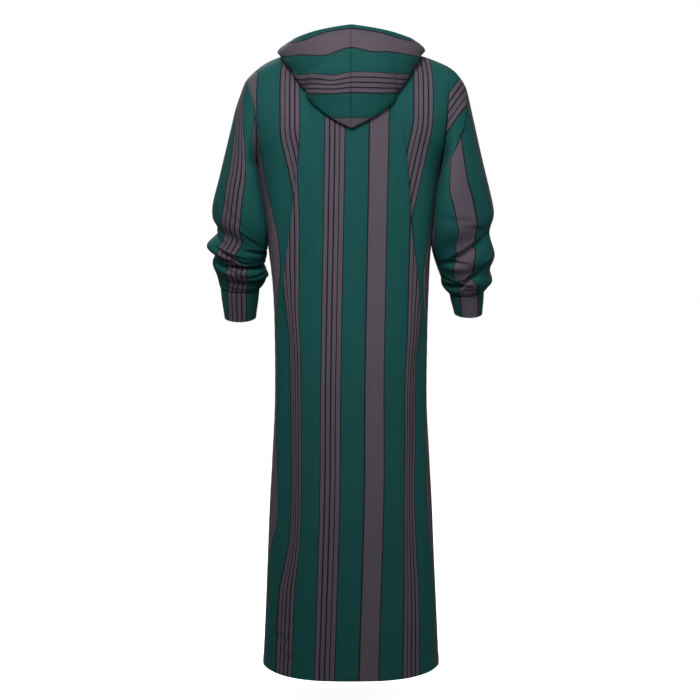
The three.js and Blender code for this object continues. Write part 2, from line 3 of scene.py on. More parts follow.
import bpy
import numpy as np
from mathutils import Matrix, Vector


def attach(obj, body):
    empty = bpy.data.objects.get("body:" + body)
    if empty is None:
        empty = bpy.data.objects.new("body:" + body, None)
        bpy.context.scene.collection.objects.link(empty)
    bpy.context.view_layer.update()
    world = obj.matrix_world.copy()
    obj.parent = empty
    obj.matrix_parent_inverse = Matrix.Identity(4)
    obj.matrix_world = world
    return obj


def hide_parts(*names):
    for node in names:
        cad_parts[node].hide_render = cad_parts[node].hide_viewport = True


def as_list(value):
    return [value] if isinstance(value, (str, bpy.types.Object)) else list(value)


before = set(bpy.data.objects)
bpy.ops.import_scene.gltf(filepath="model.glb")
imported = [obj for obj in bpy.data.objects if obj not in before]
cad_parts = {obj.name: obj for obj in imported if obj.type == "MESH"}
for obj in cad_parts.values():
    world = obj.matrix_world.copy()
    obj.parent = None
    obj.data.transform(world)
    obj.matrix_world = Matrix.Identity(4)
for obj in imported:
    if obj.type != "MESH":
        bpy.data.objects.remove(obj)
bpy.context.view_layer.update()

# A hooded, long-sleeved striped kaftan, filled out as it is when worn. Sizes are millimetres and
# become metres where a mesh is made. The front faces -Y, the back +Y, the wearer's left is +X.
MM = 0.001


def table(columns, *rows):
    """A short table: each named column as an array."""
    return {name: np.array(values, float) for name, values in zip(columns.split(), zip(*rows))}


def tables(columns, **rows):
    """Tables of the same columns, by name."""
    return {name: table(columns, *rows[name]) for name in rows}


def rows_of(rows):
    """A table's rows again, each as its values in the columns' order."""
    return zip(*rows.values())


def through(rows, column, at):
    """A smooth curve through one column of a table whose rows are ordered by "at"."""
    xs, ys = rows["at"], rows[column]
    order = np.arange(len(xs))
    before, after = np.maximum(order - 1, 0), np.minimum(order + 1, len(xs) - 1)
    slope = (ys[after] - ys[before]) / (xs[after] - xs[before])
    k = np.clip(np.searchsorted(xs, at) - 1, 0, len(xs) - 2)
    span = xs[k + 1] - xs[k]
    t = np.clip((at - xs[k]) / span, 0, 1)
    rise = t * t * (3 - 2 * t)
    lead, trail = t * (1 - t) ** 2, t * t * (t - 1)
    return ys[k] + (ys[k + 1] - ys[k]) * rise + span * (slope[k] * lead + slope[k + 1] * trail)


def bell(distance):
    return np.exp(-np.square(distance))


def ease(t):
    t = np.clip(t, 0, 1)
    return t * t * (3 - 2 * t)


def arch(t):
    """1 at 0, falling to 0 at -1 and 1."""
    return np.cos(np.clip(t, -1, 1) * math.pi / 2) ** 2


def mix(a, b, t):
    return a + (b - a) * t


def place(x, y, z):
    return np.stack(np.broadcast_arrays(x, y, z), axis=-1).astype(float)


def unit(vectors):
    return vectors / np.maximum(np.linalg.norm(vectors, axis=-1, keepdims=True), 1e-9)


# ---- sizes shared with the solids
SEAM_GAP = 0.3
HEM_DROP = 1400
UNDERARM_DROP = 265
NECK_HALF_WIDTH = 90
NECK_SHARE = 0.28
STAND_HEIGHT = 10
ROLL_REACH = 8
HOOD_CLEARANCE = 5
THROAT_GAP = 3
SECTION_POWER = 0.86  # how square the body's section is
SHOULDER_POWER = 1.6  # how far out the shoulder seam is highest

SIDES = {
    "left": dict(sign=1, tip_x=236, tip_drop=78, rise=16, scye=12, hood_spread=1.0),
    "right": dict(sign=-1, tip_x=220, tip_drop=48, rise=4, scye=-2, hood_spread=1.07),
}
PANELS = {
    "back": dict(sign=1, neck_reach=62, neck_drop=15, armhole_reach=72),
    "front": dict(sign=-1, neck_reach=100, neck_drop=96, armhole_reach=64),
}

# Half widths to the left and right and depths to the back and front, by drop.
BODY = table(
    "at left right back front",
    (265, 210, 203, 117, 120), (346, 200, 192, 113, 117), (403, 190, 185, 109, 114), (457, 185, 179, 106, 112),
    (540, 176, 175, 104, 110), (628, 172, 172, 104, 110), (797, 171, 170, 108, 112), (910, 176, 175, 113, 115),
    (1021, 182, 181, 120, 119), (1145, 187, 186, 126, 124), (1260, 191, 191, 132, 128),
    (1400, 197, 197, 138, 133),
)
# Centre lines of the panels, from the underarm's level at 0 to the neck edge at 1.
CENTRE_LINES = tables(
    "at reach drop",
    back=[(0, 117, 265), (0.35, 120, 180), (0.65, 110, 104), (0.85, 89, 52), (1, 62, 15)],
    front=[(0, 120, 265), (0.4, 120, 200), (0.75, 112, 140), (1, 100, 96)],
)

# Long folds down the panels, where the middle laps over the side. "at" is the drop, x the fold's edge in
# the side's own sense, "hidden" the width of cloth taken up, and "soft" 0 for a lap and 1 for a slack hollow.
BODY_FOLDS = tables(
    "at x depth hidden soft",
    back_left=[
        (190, 111, 0, 0, 0), (225, 114, 4, 9, 0), (262, 117, 8, 23, 0), (310, 121, 11, 34, 0),
        (383, 130, 12, 42, 0), (459, 141, 12, 53, 0), (522, 149, 10, 50, 0), (565, 154, 8, 36, 0.2),
        (615, 148, 6, 20, 0.8), (662, 136, 6, 17, 1), (830, 130, 7, 22, 1), (1076, 130, 7, 25, 1),
        (1150, 136, 5, 14, 1), (1214, 142, 3, 1, 1), (1400, 146, 0, 0, 1),
    ],
    back_right=[
        (160, 106, 0, 0, 0), (193, 111, 3, 6, 0), (230, 118, 7, 13, 0), (269, 124, 10, 20, 0),
        (302, 127, 11, 26, 0), (356, 130, 12, 37, 0), (389, 131, 13, 44, 0), (433, 134, 13, 48, 0),
        (468, 141, 12, 56, 0), (522, 148, 11, 62, 0), (590, 155, 9, 50, 0.1), (649, 156, 7, 26, 0.5),
        (710, 146, 6, 15, 1), (830, 136, 6, 14, 1), (990, 134, 7, 21, 1), (1120, 136, 5, 15, 1),
        (1200, 138, 3, 6, 1), (1400, 140, 0, 2, 1),
    ],
    front_left=[
        (170, 120, 0, 0, 0), (320, 130, 9, 22, 0), (420, 130, 10, 28, 0), (560, 127, 7, 14, 0.8),
        (900, 112, 6, 11, 1), (1220, 118, 3, 3, 1), (1400, 122, 0, 0, 1),
    ],
    front_right=[
        (170, 112, 0, 0, 0), (300, 124, 8, 18, 0), (440, 129, 10, 30, 0), (580, 128, 7, 15, 0.8),
        (820, 120, 5, 9, 1), (1180, 114, 4, 4, 1), (1400, 118, 0, 0, 1),
    ],
)
# The section through a fold. "offset" is mm past its edge, "back" the share of the lap by which the
# cloth has turned back under the edge, "sink" and "hollow" the shares of a lap's and a slack fold's depth
# and "crest" the share of the raised edge.
FOLD_SHAPE = table(
    "offset back sink hollow crest",
    (-32, 0, 0, 0, 0), (-22, 0, 0, 0.12, 0.2), (-14, 0, 0, 0.32, 0.55), (-8, 0, 0, 0.52, 0.9),
    (-4, 0, 0, 0.66, 1), (-1.6, 0, 0.03, 0.74, 1), (-0.4, 0, 0.14, 0.78, 0.9), (0, 0.06, 0.3, 0.79, 0.6),
    (0.4, 0.25, 0.5, 0.8, 0.3), (0.9, 0.55, 0.68, 0.82, 0.1), (1.5, 0.82, 0.8, 0.84, 0),
    (2.2, 0.97, 0.9, 0.86, 0), (3, 1, 0.97, 0.89, 0), (4, 0.9, 1, 0.92, 0), (6, 0.62, 1, 0.96, 0),
    (9, 0.3, 0.95, 0.99, 0), (13, 0.1, 0.84, 1, 0), (18, 0.02, 0.68, 0.93, 0), (25, 0, 0.46, 0.72, 0),
    (34, 0, 0.22, 0.4, 0), (44, 0, 0.07, 0.13, 0), (54, 0, 0, 0, 0),
)
CREST_SHARE = 0.14  # height of a lap's raised edge as a share of its depth
DEPTH_SHARE = 1.05  # cloth that a lap takes up for its depth alone
SLACK_FROM, SLACK_SPAN = -48, 66  # a slack fold gathers its cloth over this width

# Rings down each sleeve: the outermost and innermost points, the middle's y, half the depth, degrees of
# tilt, and how far the outer point is set forward and the inner one back.
SLEEVES = tables(
    "at out_x out_drop in_x in_drop mid_y half tilt lead",
    left=[
        (0, 236, 78, 210, 265, 0, 68, 0, 0), (1, 248, 108, 212, 274, 3, 68, 0, 6),
        (2, 260, 144, 210, 292, 7, 66, 0, 12), (3, 271, 189, 203, 316, 11, 64, 0, 18),
        (4, 284, 243, 198, 346, 14, 62, 0, 20), (5, 297, 297, 193, 378, 14, 61, 3, 20),
        (6, 311, 351, 188, 410, 9, 60, 8, 18), (7, 312, 384, 187.5, 432, 1, 59, 12, 12),
        (8, 302, 411, 188, 452, -11, 54, 15, 6), (9, 326, 446, 191, 470, -25, 60, 17, 0),
        (10, 310, 466, 195, 486, -37, 53, 19, 0), (11, 316, 484, 193, 500, -46, 58, 20, 0),
        (12, 306, 512, 189, 516, -59, 52, 20, 0), (13, 299, 541, 210, 543, -71, 40, 20, 0),
    ],
    right=[
        (0, 220, 48, 203, 265, 0, 68, 0, 0), (1, 239, 64, 205, 275, 3, 68, 0, 6),
        (2, 260, 98, 203, 292, 7, 67, 0, 12), (3, 276, 166, 195, 316, 11, 65, 0, 18),
        (4, 293, 243, 190, 346, 14, 63, 0, 20), (5, 306, 297, 187, 376, 14, 61, 3, 20),
        (6, 319, 351, 183.5, 408, 9, 60, 8, 18), (7, 322, 380, 182, 432, 1, 60, 12, 12),
        (8, 313, 419, 182, 454, -12, 54, 15, 6), (9, 326, 466, 190, 480, -31, 60, 17, 0),
        (10, 317, 497, 198, 500, -46, 54, 19, 0), (11, 323, 523, 204, 514, -58, 56, 20, 0),
        (12, 314, 537, 208, 534, -67, 48, 20, 0), (13, 305, 547, 226, 553, -74, 39, 20, 0),
    ],
)
LAST_RING = 13
SLEEVE_ROWS, SLEEVE_COLUMNS, CUFF_COLUMNS = 196, 132, 120
# The ring at the lower end of each cuff.
CUFFS = {
    "left": dict(out_x=292, out_drop=608, in_x=219, in_drop=608, mid_y=-94, half=37, tilt=20, lead=0),
    "right": dict(out_x=303, out_drop=599, in_x=238, in_drop=599, mid_y=-91, half=35, tilt=20, lead=0),
}

# Cross folds of the pushed-up sleeves. "ring" is the place down the sleeve, "turn" degrees round it
# (0 outermost, 90 at the back), "span" half the length, "width" and "slant" in rings.
SLEEVE_FOLDS = tables(
    "ring turn span depth width slant",
    left=[
        (8.3, 20, 60, 8, 0.36, 0.004), (8.4, 145, 60, 8, 0.26, -0.002), (10.25, 110, 120, 16, 0.42, -0.003),
        (12.05, 120, 100, 9, 0.36, 0), (9.2, 265, 90, 7, 0.5, 0.004), (11.2, 285, 100, 7, 0.5, -0.003),
    ],
    right=[
        (8.45, 88, 84, 12, 0.36, 0.01), (9.95, 66, 60, 13, 0.36, 0.022), (11.4, 128, 60, 12, 0.5, 0.004),
        (9.4, 270, 95, 7, 0.5, -0.004), (11.3, 250, 90, 6, 0.5, 0.004),
    ],
)

# Places round the neck, from the middle of the back at 0 to the throat at 1: where the hood's fold lies on
# the panel, its rim on the left side, and how far the cloth between them swells.
HOOD = table(
    "at fold_across fold_up rim_x rim_y rim_z swell",
    (0, 0, 0.255, 0, 141, 19, 16), (0.1, 0.14, 0.40, 42, 138, 13, 16), (0.2, 0.27, 0.56, 78, 124, 8, 15),
    (0.3, 0.40, 0.72, 108, 100, 3, 13), (0.4, 0.52, 0.86, 128, 64, 2, 11), (0.5, 0.62, 1, 130, 12, 6, 9),
    (0.6, 0.52, 0.86, 116, -36, 2, 8), (0.75, 0.33, 0.78, 84, -84, -26, 7), (0.9, 0.16, 0.80, 38, -112, -66, 6),
    (1, 0.05, 0.86, 8, -121, -84, 5),
)

# ---- sizes of the finer form
CLOTH = 1.2  # thickness of a shell
HEM_TURNING = 21
HEM_RISE = 16  # how much higher the hem hangs at the side seams than in the middle
HEM_RISE_REACH = 0.34  # share of the skirt over which that rise fades out upwards
SEWN_GAP = 0.02  # between the two panels along their seams
RIM_TURNING = 18
TURNING_STEP = 2.5  # over which a turning's thickness ends
SEAM_DIP, SEAM_DIP_WIDTH = 0.9, 2.2
CUFF_TOP, CUFF_EDGE = 3.0, 6  # the cuffs' rows of stitches, from their upper and lower ends
STITCH_PITCH, STITCH_LENGTH, THREAD_WIDTH = 4.2, 3.0, 0.55
STITCH_INSET = 1.5  # a row of stitches lies this far inside a turning's line
STITCH_LIFT = 0.15  # and stands this far off the cloth


# ---- forms of the body
def armhole(side, turn):
    s = SIDES[side]
    under_x = BODY[side][0]
    reach = np.where(np.sin(turn) > 0, PANELS["back"]["armhole_reach"], PANELS["front"]["armhole_reach"])
    x = mix(under_x, s["tip_x"], 0.5 + 0.5 * np.cos(turn)) - s["scye"] * np.sin(turn) ** 2
    z = -mix(UNDERARM_DROP, s["tip_drop"], 0.5 + 0.5 * np.cos(turn))
    return place(s["sign"] * x, reach * np.sin(turn), z)


def level_point(panel, side, across, drop):
    angle = across * math.pi / 2
    x = through(BODY, side, drop) * np.sin(angle) ** SECTION_POWER
    y = through(BODY, panel, drop) * np.maximum(np.cos(angle), 0) ** SECTION_POWER
    return place(SIDES[side]["sign"] * x, PANELS[panel]["sign"] * y, -drop)


def top_edge(panel, side, across):
    s, p = SIDES[side], PANELS[panel]
    angle = np.clip(across / NECK_SHARE, 0, 1) * math.pi / 2
    neck = place(
        s["sign"] * NECK_HALF_WIDTH * np.sin(angle),
        p["sign"] * p["neck_reach"] * np.cos(angle),
        -p["neck_drop"] * np.cos(angle),
    )
    t = np.clip((across - NECK_SHARE) / (1 - NECK_SHARE), 0, 1)
    shoulder = place(
        s["sign"] * mix(NECK_HALF_WIDTH, s["tip_x"], t),
        0,
        -s["tip_drop"] * t + s["rise"] * np.sin(math.pi * t**SHOULDER_POWER),
    )
    return np.where((across <= NECK_SHARE)[..., None], neck, shoulder)


def centre_point(panel, up):
    line = CENTRE_LINES[panel]
    return place(0, PANELS[panel]["sign"] * through(line, "reach", up), -through(line, "drop", up))


def upper_point(panel, side, across, up):
    """Above the underarm a half is the smooth patch between its four edges."""
    a, t = across[..., None], up[..., None]
    turn = PANELS[panel]["sign"] * math.pi * (1 - up)
    edges = (1 - a) * centre_point(panel, up) + a * armhole(side, turn)
    edges += (1 - t) * level_point(panel, side, across, np.full_like(across, UNDERARM_DROP))
    edges += t * top_edge(panel, side, across)
    zero = np.zeros_like(across)
    corners = (1 - a) * (1 - t) * centre_point(panel, zero) + a * (1 - t) * armhole(side, zero + math.pi)
    corners += (1 - a) * t * centre_point(panel, zero + 1) + a * t * armhole(side, zero)
    return edges - corners


def smooth_panel_point(panel, side, across, up):
    across, up = np.broadcast_arrays(np.asarray(across, float), np.asarray(up, float))
    lower = level_point(panel, side, across, mix(HEM_DROP, UNDERARM_DROP, np.clip(up, 0, 1)))
    upper = upper_point(panel, side, across, np.clip(up - 1, 0, 1))
    return np.where((up > 1)[..., None], upper, lower)


# ---- grids of points
def normals_of(grid, flip, round_grid=False):
    if round_grid:
        wide = np.concatenate([grid[:, -2:-1], grid, grid[:, 1:2]], axis=1)
        across = wide[:, 2:] - wide[:, :-2]
    else:
        across = np.gradient(grid, axis=1)
    along = np.gradient(grid, axis=0)
    return unit(np.cross(across, along)) * (-1 if flip else 1)


def run_along(grid, axis):
    """Distance walked from the first point, along rows (axis 1) or columns (axis 0)."""
    steps = np.linalg.norm(np.diff(grid, axis=axis), axis=-1)
    start = np.zeros_like(np.take(steps, [0], axis=axis))
    return np.concatenate([start, np.cumsum(steps, axis=axis)], axis=axis)


def to_edge(run):
    """Distance still to walk down the columns."""
    return run[-1:] - run


def to_nearer(run):
    """Distance from the nearer end of each row."""
    return np.minimum(run, run[:, -1:] - run)


def level_run(grid, normals):
    """Distance walked along rows, counting only the level way in the cloth."""
    steps = np.diff(grid, axis=1)
    normal = unit(normals[:, 1:] + normals[:, :-1])
    level = unit(np.stack([-normal[..., 1], normal[..., 0], np.zeros(normal.shape[:2])], axis=-1))
    lengths = np.abs(np.sum(steps * level, axis=-1))
    return np.concatenate([np.zeros((grid.shape[0], 1)), np.cumsum(lengths, axis=1)], axis=1)


def close_set(count, start, end, tight=(0, 0.8, 2, 3.6, 6)):
    """Fractions from start to end with extra lines close to the end, for a crisp seam. Sizes are mm."""
    even = np.linspace(start, end, count)
    extra = end - np.array(tight[1:])
    even = even[even < extra[-1] - 2]
    return np.concatenate([even, extra[::-1], [end]])


def turned(past, height, groove, width):
    """Relief of a stitched turning, from the distance past its line: its thickness and the line's groove."""
    return height * (1 - ease(past / TURNING_STEP)) - groove * bell(past / width)


def puckers(height, phase, away):
    """Small waves that sewing draws into the cloth beside it."""
    return height * np.sin(phase) * bell(away)


# ---- meshes
def linked(name, data):
    """A new object in the scene."""
    made = bpy.data.objects.new(name, data)
    bpy.context.collection.objects.link(made)
    return made


def cloth_shell(name, outer, normals, sheet_u, sheet_v, round_grid, flip):
    """A closed thin shell from its outer face. Its UV map "cloth" is the cloth's own width and length."""
    rows, columns = outer.shape[:2]
    if round_grid:  # the last column repeats the first
        columns -= 1
    inner = outer - normals * CLOTH
    verts = np.concatenate([outer[:, :columns].reshape(-1, 3), inner[:, :columns].reshape(-1, 3)]) * MM
    count = rows * columns
    r, c = np.meshgrid(np.arange(rows - 1), np.arange(outer.shape[1] - 1), indexing="ij")
    r, c = r.ravel(), c.ravel()

    def vertex(row, column, inside):
        return inside * count + row * columns + column % columns

    def corner(row, column):
        return np.stack([sheet_u[row, column], sheet_v[row, column]], axis=-1)

    faces, corners = [], []

    def add(*spots):
        faces.append(np.stack([vertex(*spot) for spot in spots], axis=1))
        corners.append(np.stack([corner(row, column) for row, column, _ in spots], axis=1))

    def rim(row_a, column_a, row_b, column_b):
        add((row_a, column_a, 0), (row_a, column_a, 1), (row_b, column_b, 1), (row_b, column_b, 0))

    add((r, c, 0), (r, c + 1, 0), (r + 1, c + 1, 0), (r + 1, c, 0))
    add((r, c, 1), (r + 1, c, 1), (r + 1, c + 1, 1), (r, c + 1, 1))
    run = np.arange(outer.shape[1] - 1)
    first, last = np.zeros_like(run), np.full_like(run, rows - 1)
    rim(first, run, first, run + 1)
    rim(last, run + 1, last, run)
    if not round_grid:
        climb = np.arange(rows - 1)
        left, right = np.zeros_like(climb), np.full_like(climb, columns - 1)
        rim(climb + 1, left, climb, left)
        rim(climb, right, climb + 1, right)
    faces, corners = np.concatenate(faces), np.concatenate(corners)
    if flip:
        faces, corners = faces[:, ::-1], corners[:, ::-1]
    mesh = bpy.data.meshes.new(name)
    mesh.from_pydata(verts.tolist(), [], faces.tolist())
    cloth = mesh.uv_layers.new(name="cloth")
    cloth.data.foreach_set("uv", (corners.reshape(-1, 2) * MM).ravel())
    inside = mesh.attributes.new("inside", "FLOAT", "POINT")
    inside.data.foreach_set("value", np.repeat([0.0, 1.0], count))
    mesh.polygons.foreach_set("use_smooth", np.ones(len(faces), bool))
    mesh.update()
    return linked(name, mesh)


# ---- materials
class Value:
    """A number, colour or vector worked out by a material's nodes."""

    def __init__(self, finish, socket):
        self.finish, self.socket = finish, socket

    def maths(self, operation, *others):
        return self.finish.node("ShaderNodeMath", {"operation": operation}, dict(enumerate(others)))

    def __add__(self, other):
        return self.maths("ADD", self, other)

    def __sub__(self, other):
        return self.maths("SUBTRACT", self, other)

    def __rsub__(self, other):
        return self.maths("SUBTRACT", other, self)

    def __mul__(self, other):
        return self.maths("MULTIPLY", self, other)

    def __mod__(self, other):
        return self.maths("FLOORED_MODULO", self, other)

    __radd__ = __add__
    __rmul__ = __mul__

    def sine(self):
        return self.maths("SINE", self)


class Finish:
    """A material with a Principled surface."""

    def __init__(self, name, **constants):
        self.material = bpy.data.materials.new(name)
        self.material.use_nodes = True
        self.tree = self.material.node_tree
        self.surface = self.tree.nodes["Principled BSDF"]
        for socket, value in constants.items():
            self.surface.inputs[socket.replace("_", " ")].default_value = value

    def node(self, kind, settings, values, output=0):
        node = self.tree.nodes.new(kind)
        for name, value in settings.items():
            if name == "stops":
                self.set_stops(node.color_ramp, value)
            else:
                setattr(node, name, value)
        for name, value in values.items():
            if isinstance(value, Value):
                self.tree.links.new(value.socket, node.inputs[name])
            else:
                node.inputs[name].default_value = value
        return Value(self, node.outputs[output])

    @staticmethod
    def set_stops(ramp, stops):
        ramp.interpolation = "CONSTANT"
        while len(ramp.elements) < len(stops):
            ramp.elements.new(1)
        for element, (position, colour) in zip(ramp.elements, stops):
            element.position, element.color = position, colour

    def blend(self, share, a, b, mode="MIX"):
        """Colour a where share is 0 and colour b where it is 1."""
        settings = {"data_type": "RGBA", "blend_type": mode}
        return self.node("ShaderNodeMix", settings, {0: share, 6: a, 7: b}, output=2)

    def place(self):
        """The point in the piece's own metres."""
        return self.node("ShaderNodeTexCoord", {}, {}, output=3)

    def noise(self, vector, scale, detail=2.0, roughness=0.5):
        values = {"Vector": vector, "Scale": scale, "Detail": detail, "Roughness": roughness}
        return self.node("ShaderNodeTexNoise", {}, values)

    def yarns(self, u, v, across, along, seed, detail, roughness):
        """Noise drawn out along the cloth's yarns."""
        vector = self.node("ShaderNodeCombineXYZ", {}, {0: u * across, 1: v * along, 2: seed})
        return self.noise(vector, 1.0, detail, roughness)

    def feed(self, socket, value):
        self.tree.links.new(value.socket, self.surface.inputs[socket])


# Stripes across the cloth, in mm: plain taupe bands and taupe bands ruled with dark lines, on green.
PLAIN_BAND, RULED_BAND, GREEN_BAND = 43, 44, 53
LINE = 2.8
RULES = 5
BODY_ORDER = ("plain", "green", "ruled", "green", "ruled", "green")
HOOD_ORDER = ("lead", "plain", "green", "ruled", "green", "plain", "green", "ruled", "green")
BAND_WIDTHS = {"plain": PLAIN_BAND, "ruled": RULED_BAND, "green": GREEN_BAND, "lead": 9}

GREEN = (0.0058, 0.062, 0.0585, 1)
TAUPE = (0.080, 0.065, 0.082, 1)
DARK = (0.012, 0.009, 0.013, 1)
TAUPE_MARK, GREEN_MARK, LINE_MARK = (1, 0, 0, 1), (0, 0, 0, 1), (0, 1, 0, 1)


def stripe_stops(order):
    """The ramp's stops for one repeat: red marks taupe and green marks a dark line."""
    repeat = sum(BAND_WIDTHS[band] for band in order)
    stops, start = [], 0.0

    def line(centre, after):
        stops.append((max(centre - LINE / 2, 0) / repeat, LINE_MARK))
        stops.append((min(centre + LINE / 2, repeat) / repeat, after))

    for band in order:
        width = BAND_WIDTHS[band]
        if band == "plain":
            line(start, TAUPE_MARK)
            line(start + width, GREEN_MARK)
        if band == "ruled":
            for rule in range(RULES):
                line(start + width * rule / (RULES - 1), GREEN_MARK if rule == RULES - 1 else TAUPE_MARK)
        start += width
    if stops[0][0] > 0:
        stops.insert(0, (0, GREEN_MARK))
    return repeat, stops


# Uneven yarns as stretched noise: cells a metre across and along the cloth, a seed, detail and roughness.
SLUBS = dict(across=420, along=9, seed=0.0, detail=3.0, roughness=0.6)
WEFT = dict(across=14, along=300, seed=4.0, detail=2.0, roughness=0.5)
SLUB_SHADE, WEFT_SHADE, CLOUD_SHADE = 0.34, 0.12, 0.22  # how much each varies the cloth's shade
WAVER = 0.0009  # metres by which a stripe's edge wavers
TWILL_PITCH, YARN_PITCH = 5200, 9000  # radians a metre
WRONG_SIDE, WRONG_SIDE_SHARE = (0.06, 0.07, 0.075, 1), 0.35
SHEEN_TINT = (0.5, 0.75, 0.75, 1)
THREAD_DARK, THREAD_LIGHT = (0.012, 0.05, 0.046, 1), (0.03, 0.09, 0.085, 1)
FLOOR_DARK, FLOOR_LIGHT = (0.80, 0.80, 0.80, 1), (0.84, 0.84, 0.84, 1)


def cloth_finish(name, order, phase):
    """Smooth striped cloth. "phase" is where on the repeat, in mm, the piece's own zero lies."""
    finish = Finish(name, Roughness=0.8, Sheen_Weight=0.02, Sheen_Roughness=0.45, Sheen_Tint=SHEEN_TINT)
    finish.surface.inputs["Specular IOR Level"].default_value = 0.1
    cloth = finish.node("ShaderNodeUVMap", {"uv_map": "cloth"}, {})
    across, along = (finish.node("ShaderNodeSeparateXYZ", {}, {0: cloth}, output=axis) for axis in (0, 1))
    slub, weft = (finish.yarns(across, along, **sizes) for sizes in (SLUBS, WEFT))
    drift = finish.node("ShaderNodeCombineXYZ", {}, {0: 3.0, 1: along * 60, 2: across * 8})
    waver = (finish.noise(drift, 1.0) - 0.5) * WAVER
    cloud = finish.noise(finish.place(), 3.2, 3.0, 0.55)

    repeat, stops = stripe_stops(order)
    position = ((across + waver + phase * MM) * (1 / MM / repeat)) % 1.0
    marks = finish.node("ShaderNodeValToRGB", {"stops": stops}, {0: position})
    taupe, line = (finish.node("ShaderNodeSeparateColor", {}, {0: marks}, output=mark) for mark in (0, 1))
    colour = finish.blend(line, finish.blend(taupe, GREEN, TAUPE), DARK)
    shade = 1 + (slub - 0.5) * SLUB_SHADE + (weft - 0.5) * WEFT_SHADE + (cloud - 0.5) * CLOUD_SHADE
    grey = finish.node("ShaderNodeCombineColor", {}, dict.fromkeys((0, 1, 2), shade))
    colour = finish.blend(1.0, colour, grey, "MULTIPLY")
    inside = finish.node("ShaderNodeAttribute", {"attribute_name": "inside"}, {}, output=2)
    colour = finish.blend(inside, colour, finish.blend(WRONG_SIDE_SHARE, colour, WRONG_SIDE))
    finish.feed("Base Color", colour)
    finish.feed("Roughness", 0.82 - slub * 0.12)

    twill = ((across * TWILL_PITCH + along * TWILL_PITCH).sine() + 1) * 0.5
    yarn = ((across * YARN_PITCH).sine() + 1) * 0.25
    height = twill * 0.5 + yarn + slub * 0.9 + weft * 0.4
    bump = finish.node("ShaderNodeBump", {}, {"Strength": 0.35, "Distance": 0.00018, "Height": height})
    finish.feed("Normal", bump)
    return finish.material


def thread_finish():
    finish = Finish("sewing_thread", Roughness=0.6, Sheen_Weight=0.1)
    finish.feed("Base Color", finish.blend(finish.noise(finish.place(), 900.0), THREAD_DARK, THREAD_LIGHT))
    return finish.material


def floor_finish():
    finish = Finish("studio_floor", Roughness=0.9, Emission_Color=(1, 1, 1, 1), Emission_Strength=0.9)
    finish.feed("Base Color", finish.blend(finish.noise(finish.place(), 1.4), FLOOR_DARK, FLOOR_LIGHT))
    return finish.material


# ---- body panels
# Small soft creases. x is signed and crosses the garment; "lean" is degrees from level, rising
# towards +X, "half" is half the length and "width" the half width.
BODY_CREASES = tables(
    "x drop half lean depth width",
    back=[
        (150, 300, 46, -58, 2.2, 9), (168, 352, 40, -66, 1.8, 8), (-150, 286, 44, 62, 2.0, 9),
        (-160, 345, 48, 70, 2.2, 9), (-140, 212, 34, 48, 1.3, 8), (146, 214, 30, -50, 1.2, 8),
        (152, 1318, 44, 32, 2.6, 7), (138, 1356, 40, 26, 2.2, 6), (128, 1284, 36, 38, 1.8, 7),
        (-150, 1335, 36, -30, 0.9, 8), (160, 640, 60, -82, 1.0, 9), (-156, 720, 70, 84, 1.2, 10),
        (40, 520, 90, -88, 0.7, 13), (-52, 760, 120, 88, 0.7, 14), (64, 980, 120, -88, 0.8, 14),
    ],
    front=[
        (146, 306, 44, -60, 2.0, 9), (-150, 292, 46, 62, 2.0, 9), (60, 250, 50, -74, 1.2, 10),
        (-48, 262, 46, 72, 1.1, 10), (156, 700, 70, -84, 1.0, 10), (-150, 660, 60, 82, 1.1, 10),
        (-36, 900, 120, 88, 0.8, 14), (58, 820, 130, -87, 0.8, 14), (132, 1330, 40, 30, 1.2, 7),
        (-140, 1344, 38, -28, 1.1, 7),
    ],
)
# Long low waves of the hanging skirt: x of a crest, its half width and height, and where it fades in.
SKIRT_WAVES = tables(
    "x width height fade_in",
    back=[(-62, 22, 2.2, 620), (8, 26, 1.6, 760), (70, 20, 2.4, 560), (-168, 14, 2.5, 700)],
    front=[(-70, 24, 2.4, 560), (-6, 26, 2.0, 700), (60, 22, 2.6, 600), (164, 14, 2.5, 700)],
)
# How far the middle of the cloth lies from the middle of the panel, down the back.
CLOTH_MIDDLE = table("at x", (0, -15), (234, -13.5), (745, -4.6), (1010, -2.6), (1363, 8), (1410, 9.4))

# How far the stripes are drawn outward (or, below 0, inward): "near" from 110 mm off the middle, and "far"
# from the distance "edge", over a width of "span".
STRIPE_PULL = tables(
    "at near far edge span",
    left=[
        (0, 19, 16, 200, 50), (60, 17, 14, 200, 50), (110, 11, 11.5, 200, 50), (160, 6, 8, 200, 50),
        (220, 3.5, 7, 200, 50), (257, 5, 15.5, 195, 50), (312, 6, 20, 185, 46), (366, 2.5, 8, 180, 40),
        (421, 1, -1, 175, 36), (560, 0, 0, 165, 24), (676, 0, -10, 158, 20), (700, 0, -13, 158, 20),
        (769, 0, -7, 158, 20), (855, 0, -6, 158, 20), (927, 0, -11, 158, 20), (998, 0, -16, 160, 20),
        (1063, 0, -17, 162, 20), (1099, 0, -7, 164, 20), (1130, 0, 3, 168, 20), (1400, 0, 6, 180, 20),
    ],
    right=[
        (0, 16, 14, 200, 50), (60, 15, 12, 200, 50), (110, 9, 9, 200, 50), (160, 5, 5, 200, 50),
        (220, 2, 2, 200, 50), (340, 0, 0, 190, 40), (640, 0, 0, 162, 20), (783, -1, -13, 158, 20),
        (877, 3, -22, 158, 20), (927, 3.5, -13, 160, 20), (984, 3.5, -16, 162, 20), (1041, 4, -14, 164, 20),
        (1098, 4, -10, 167, 20), (1170, 1.5, 5, 172, 20), (1400, 1.5, 14, 182, 20),
    ],
)
PULL_SHARE = {"back": 1.0, "front": 0.25}  # how much of that pull each panel has

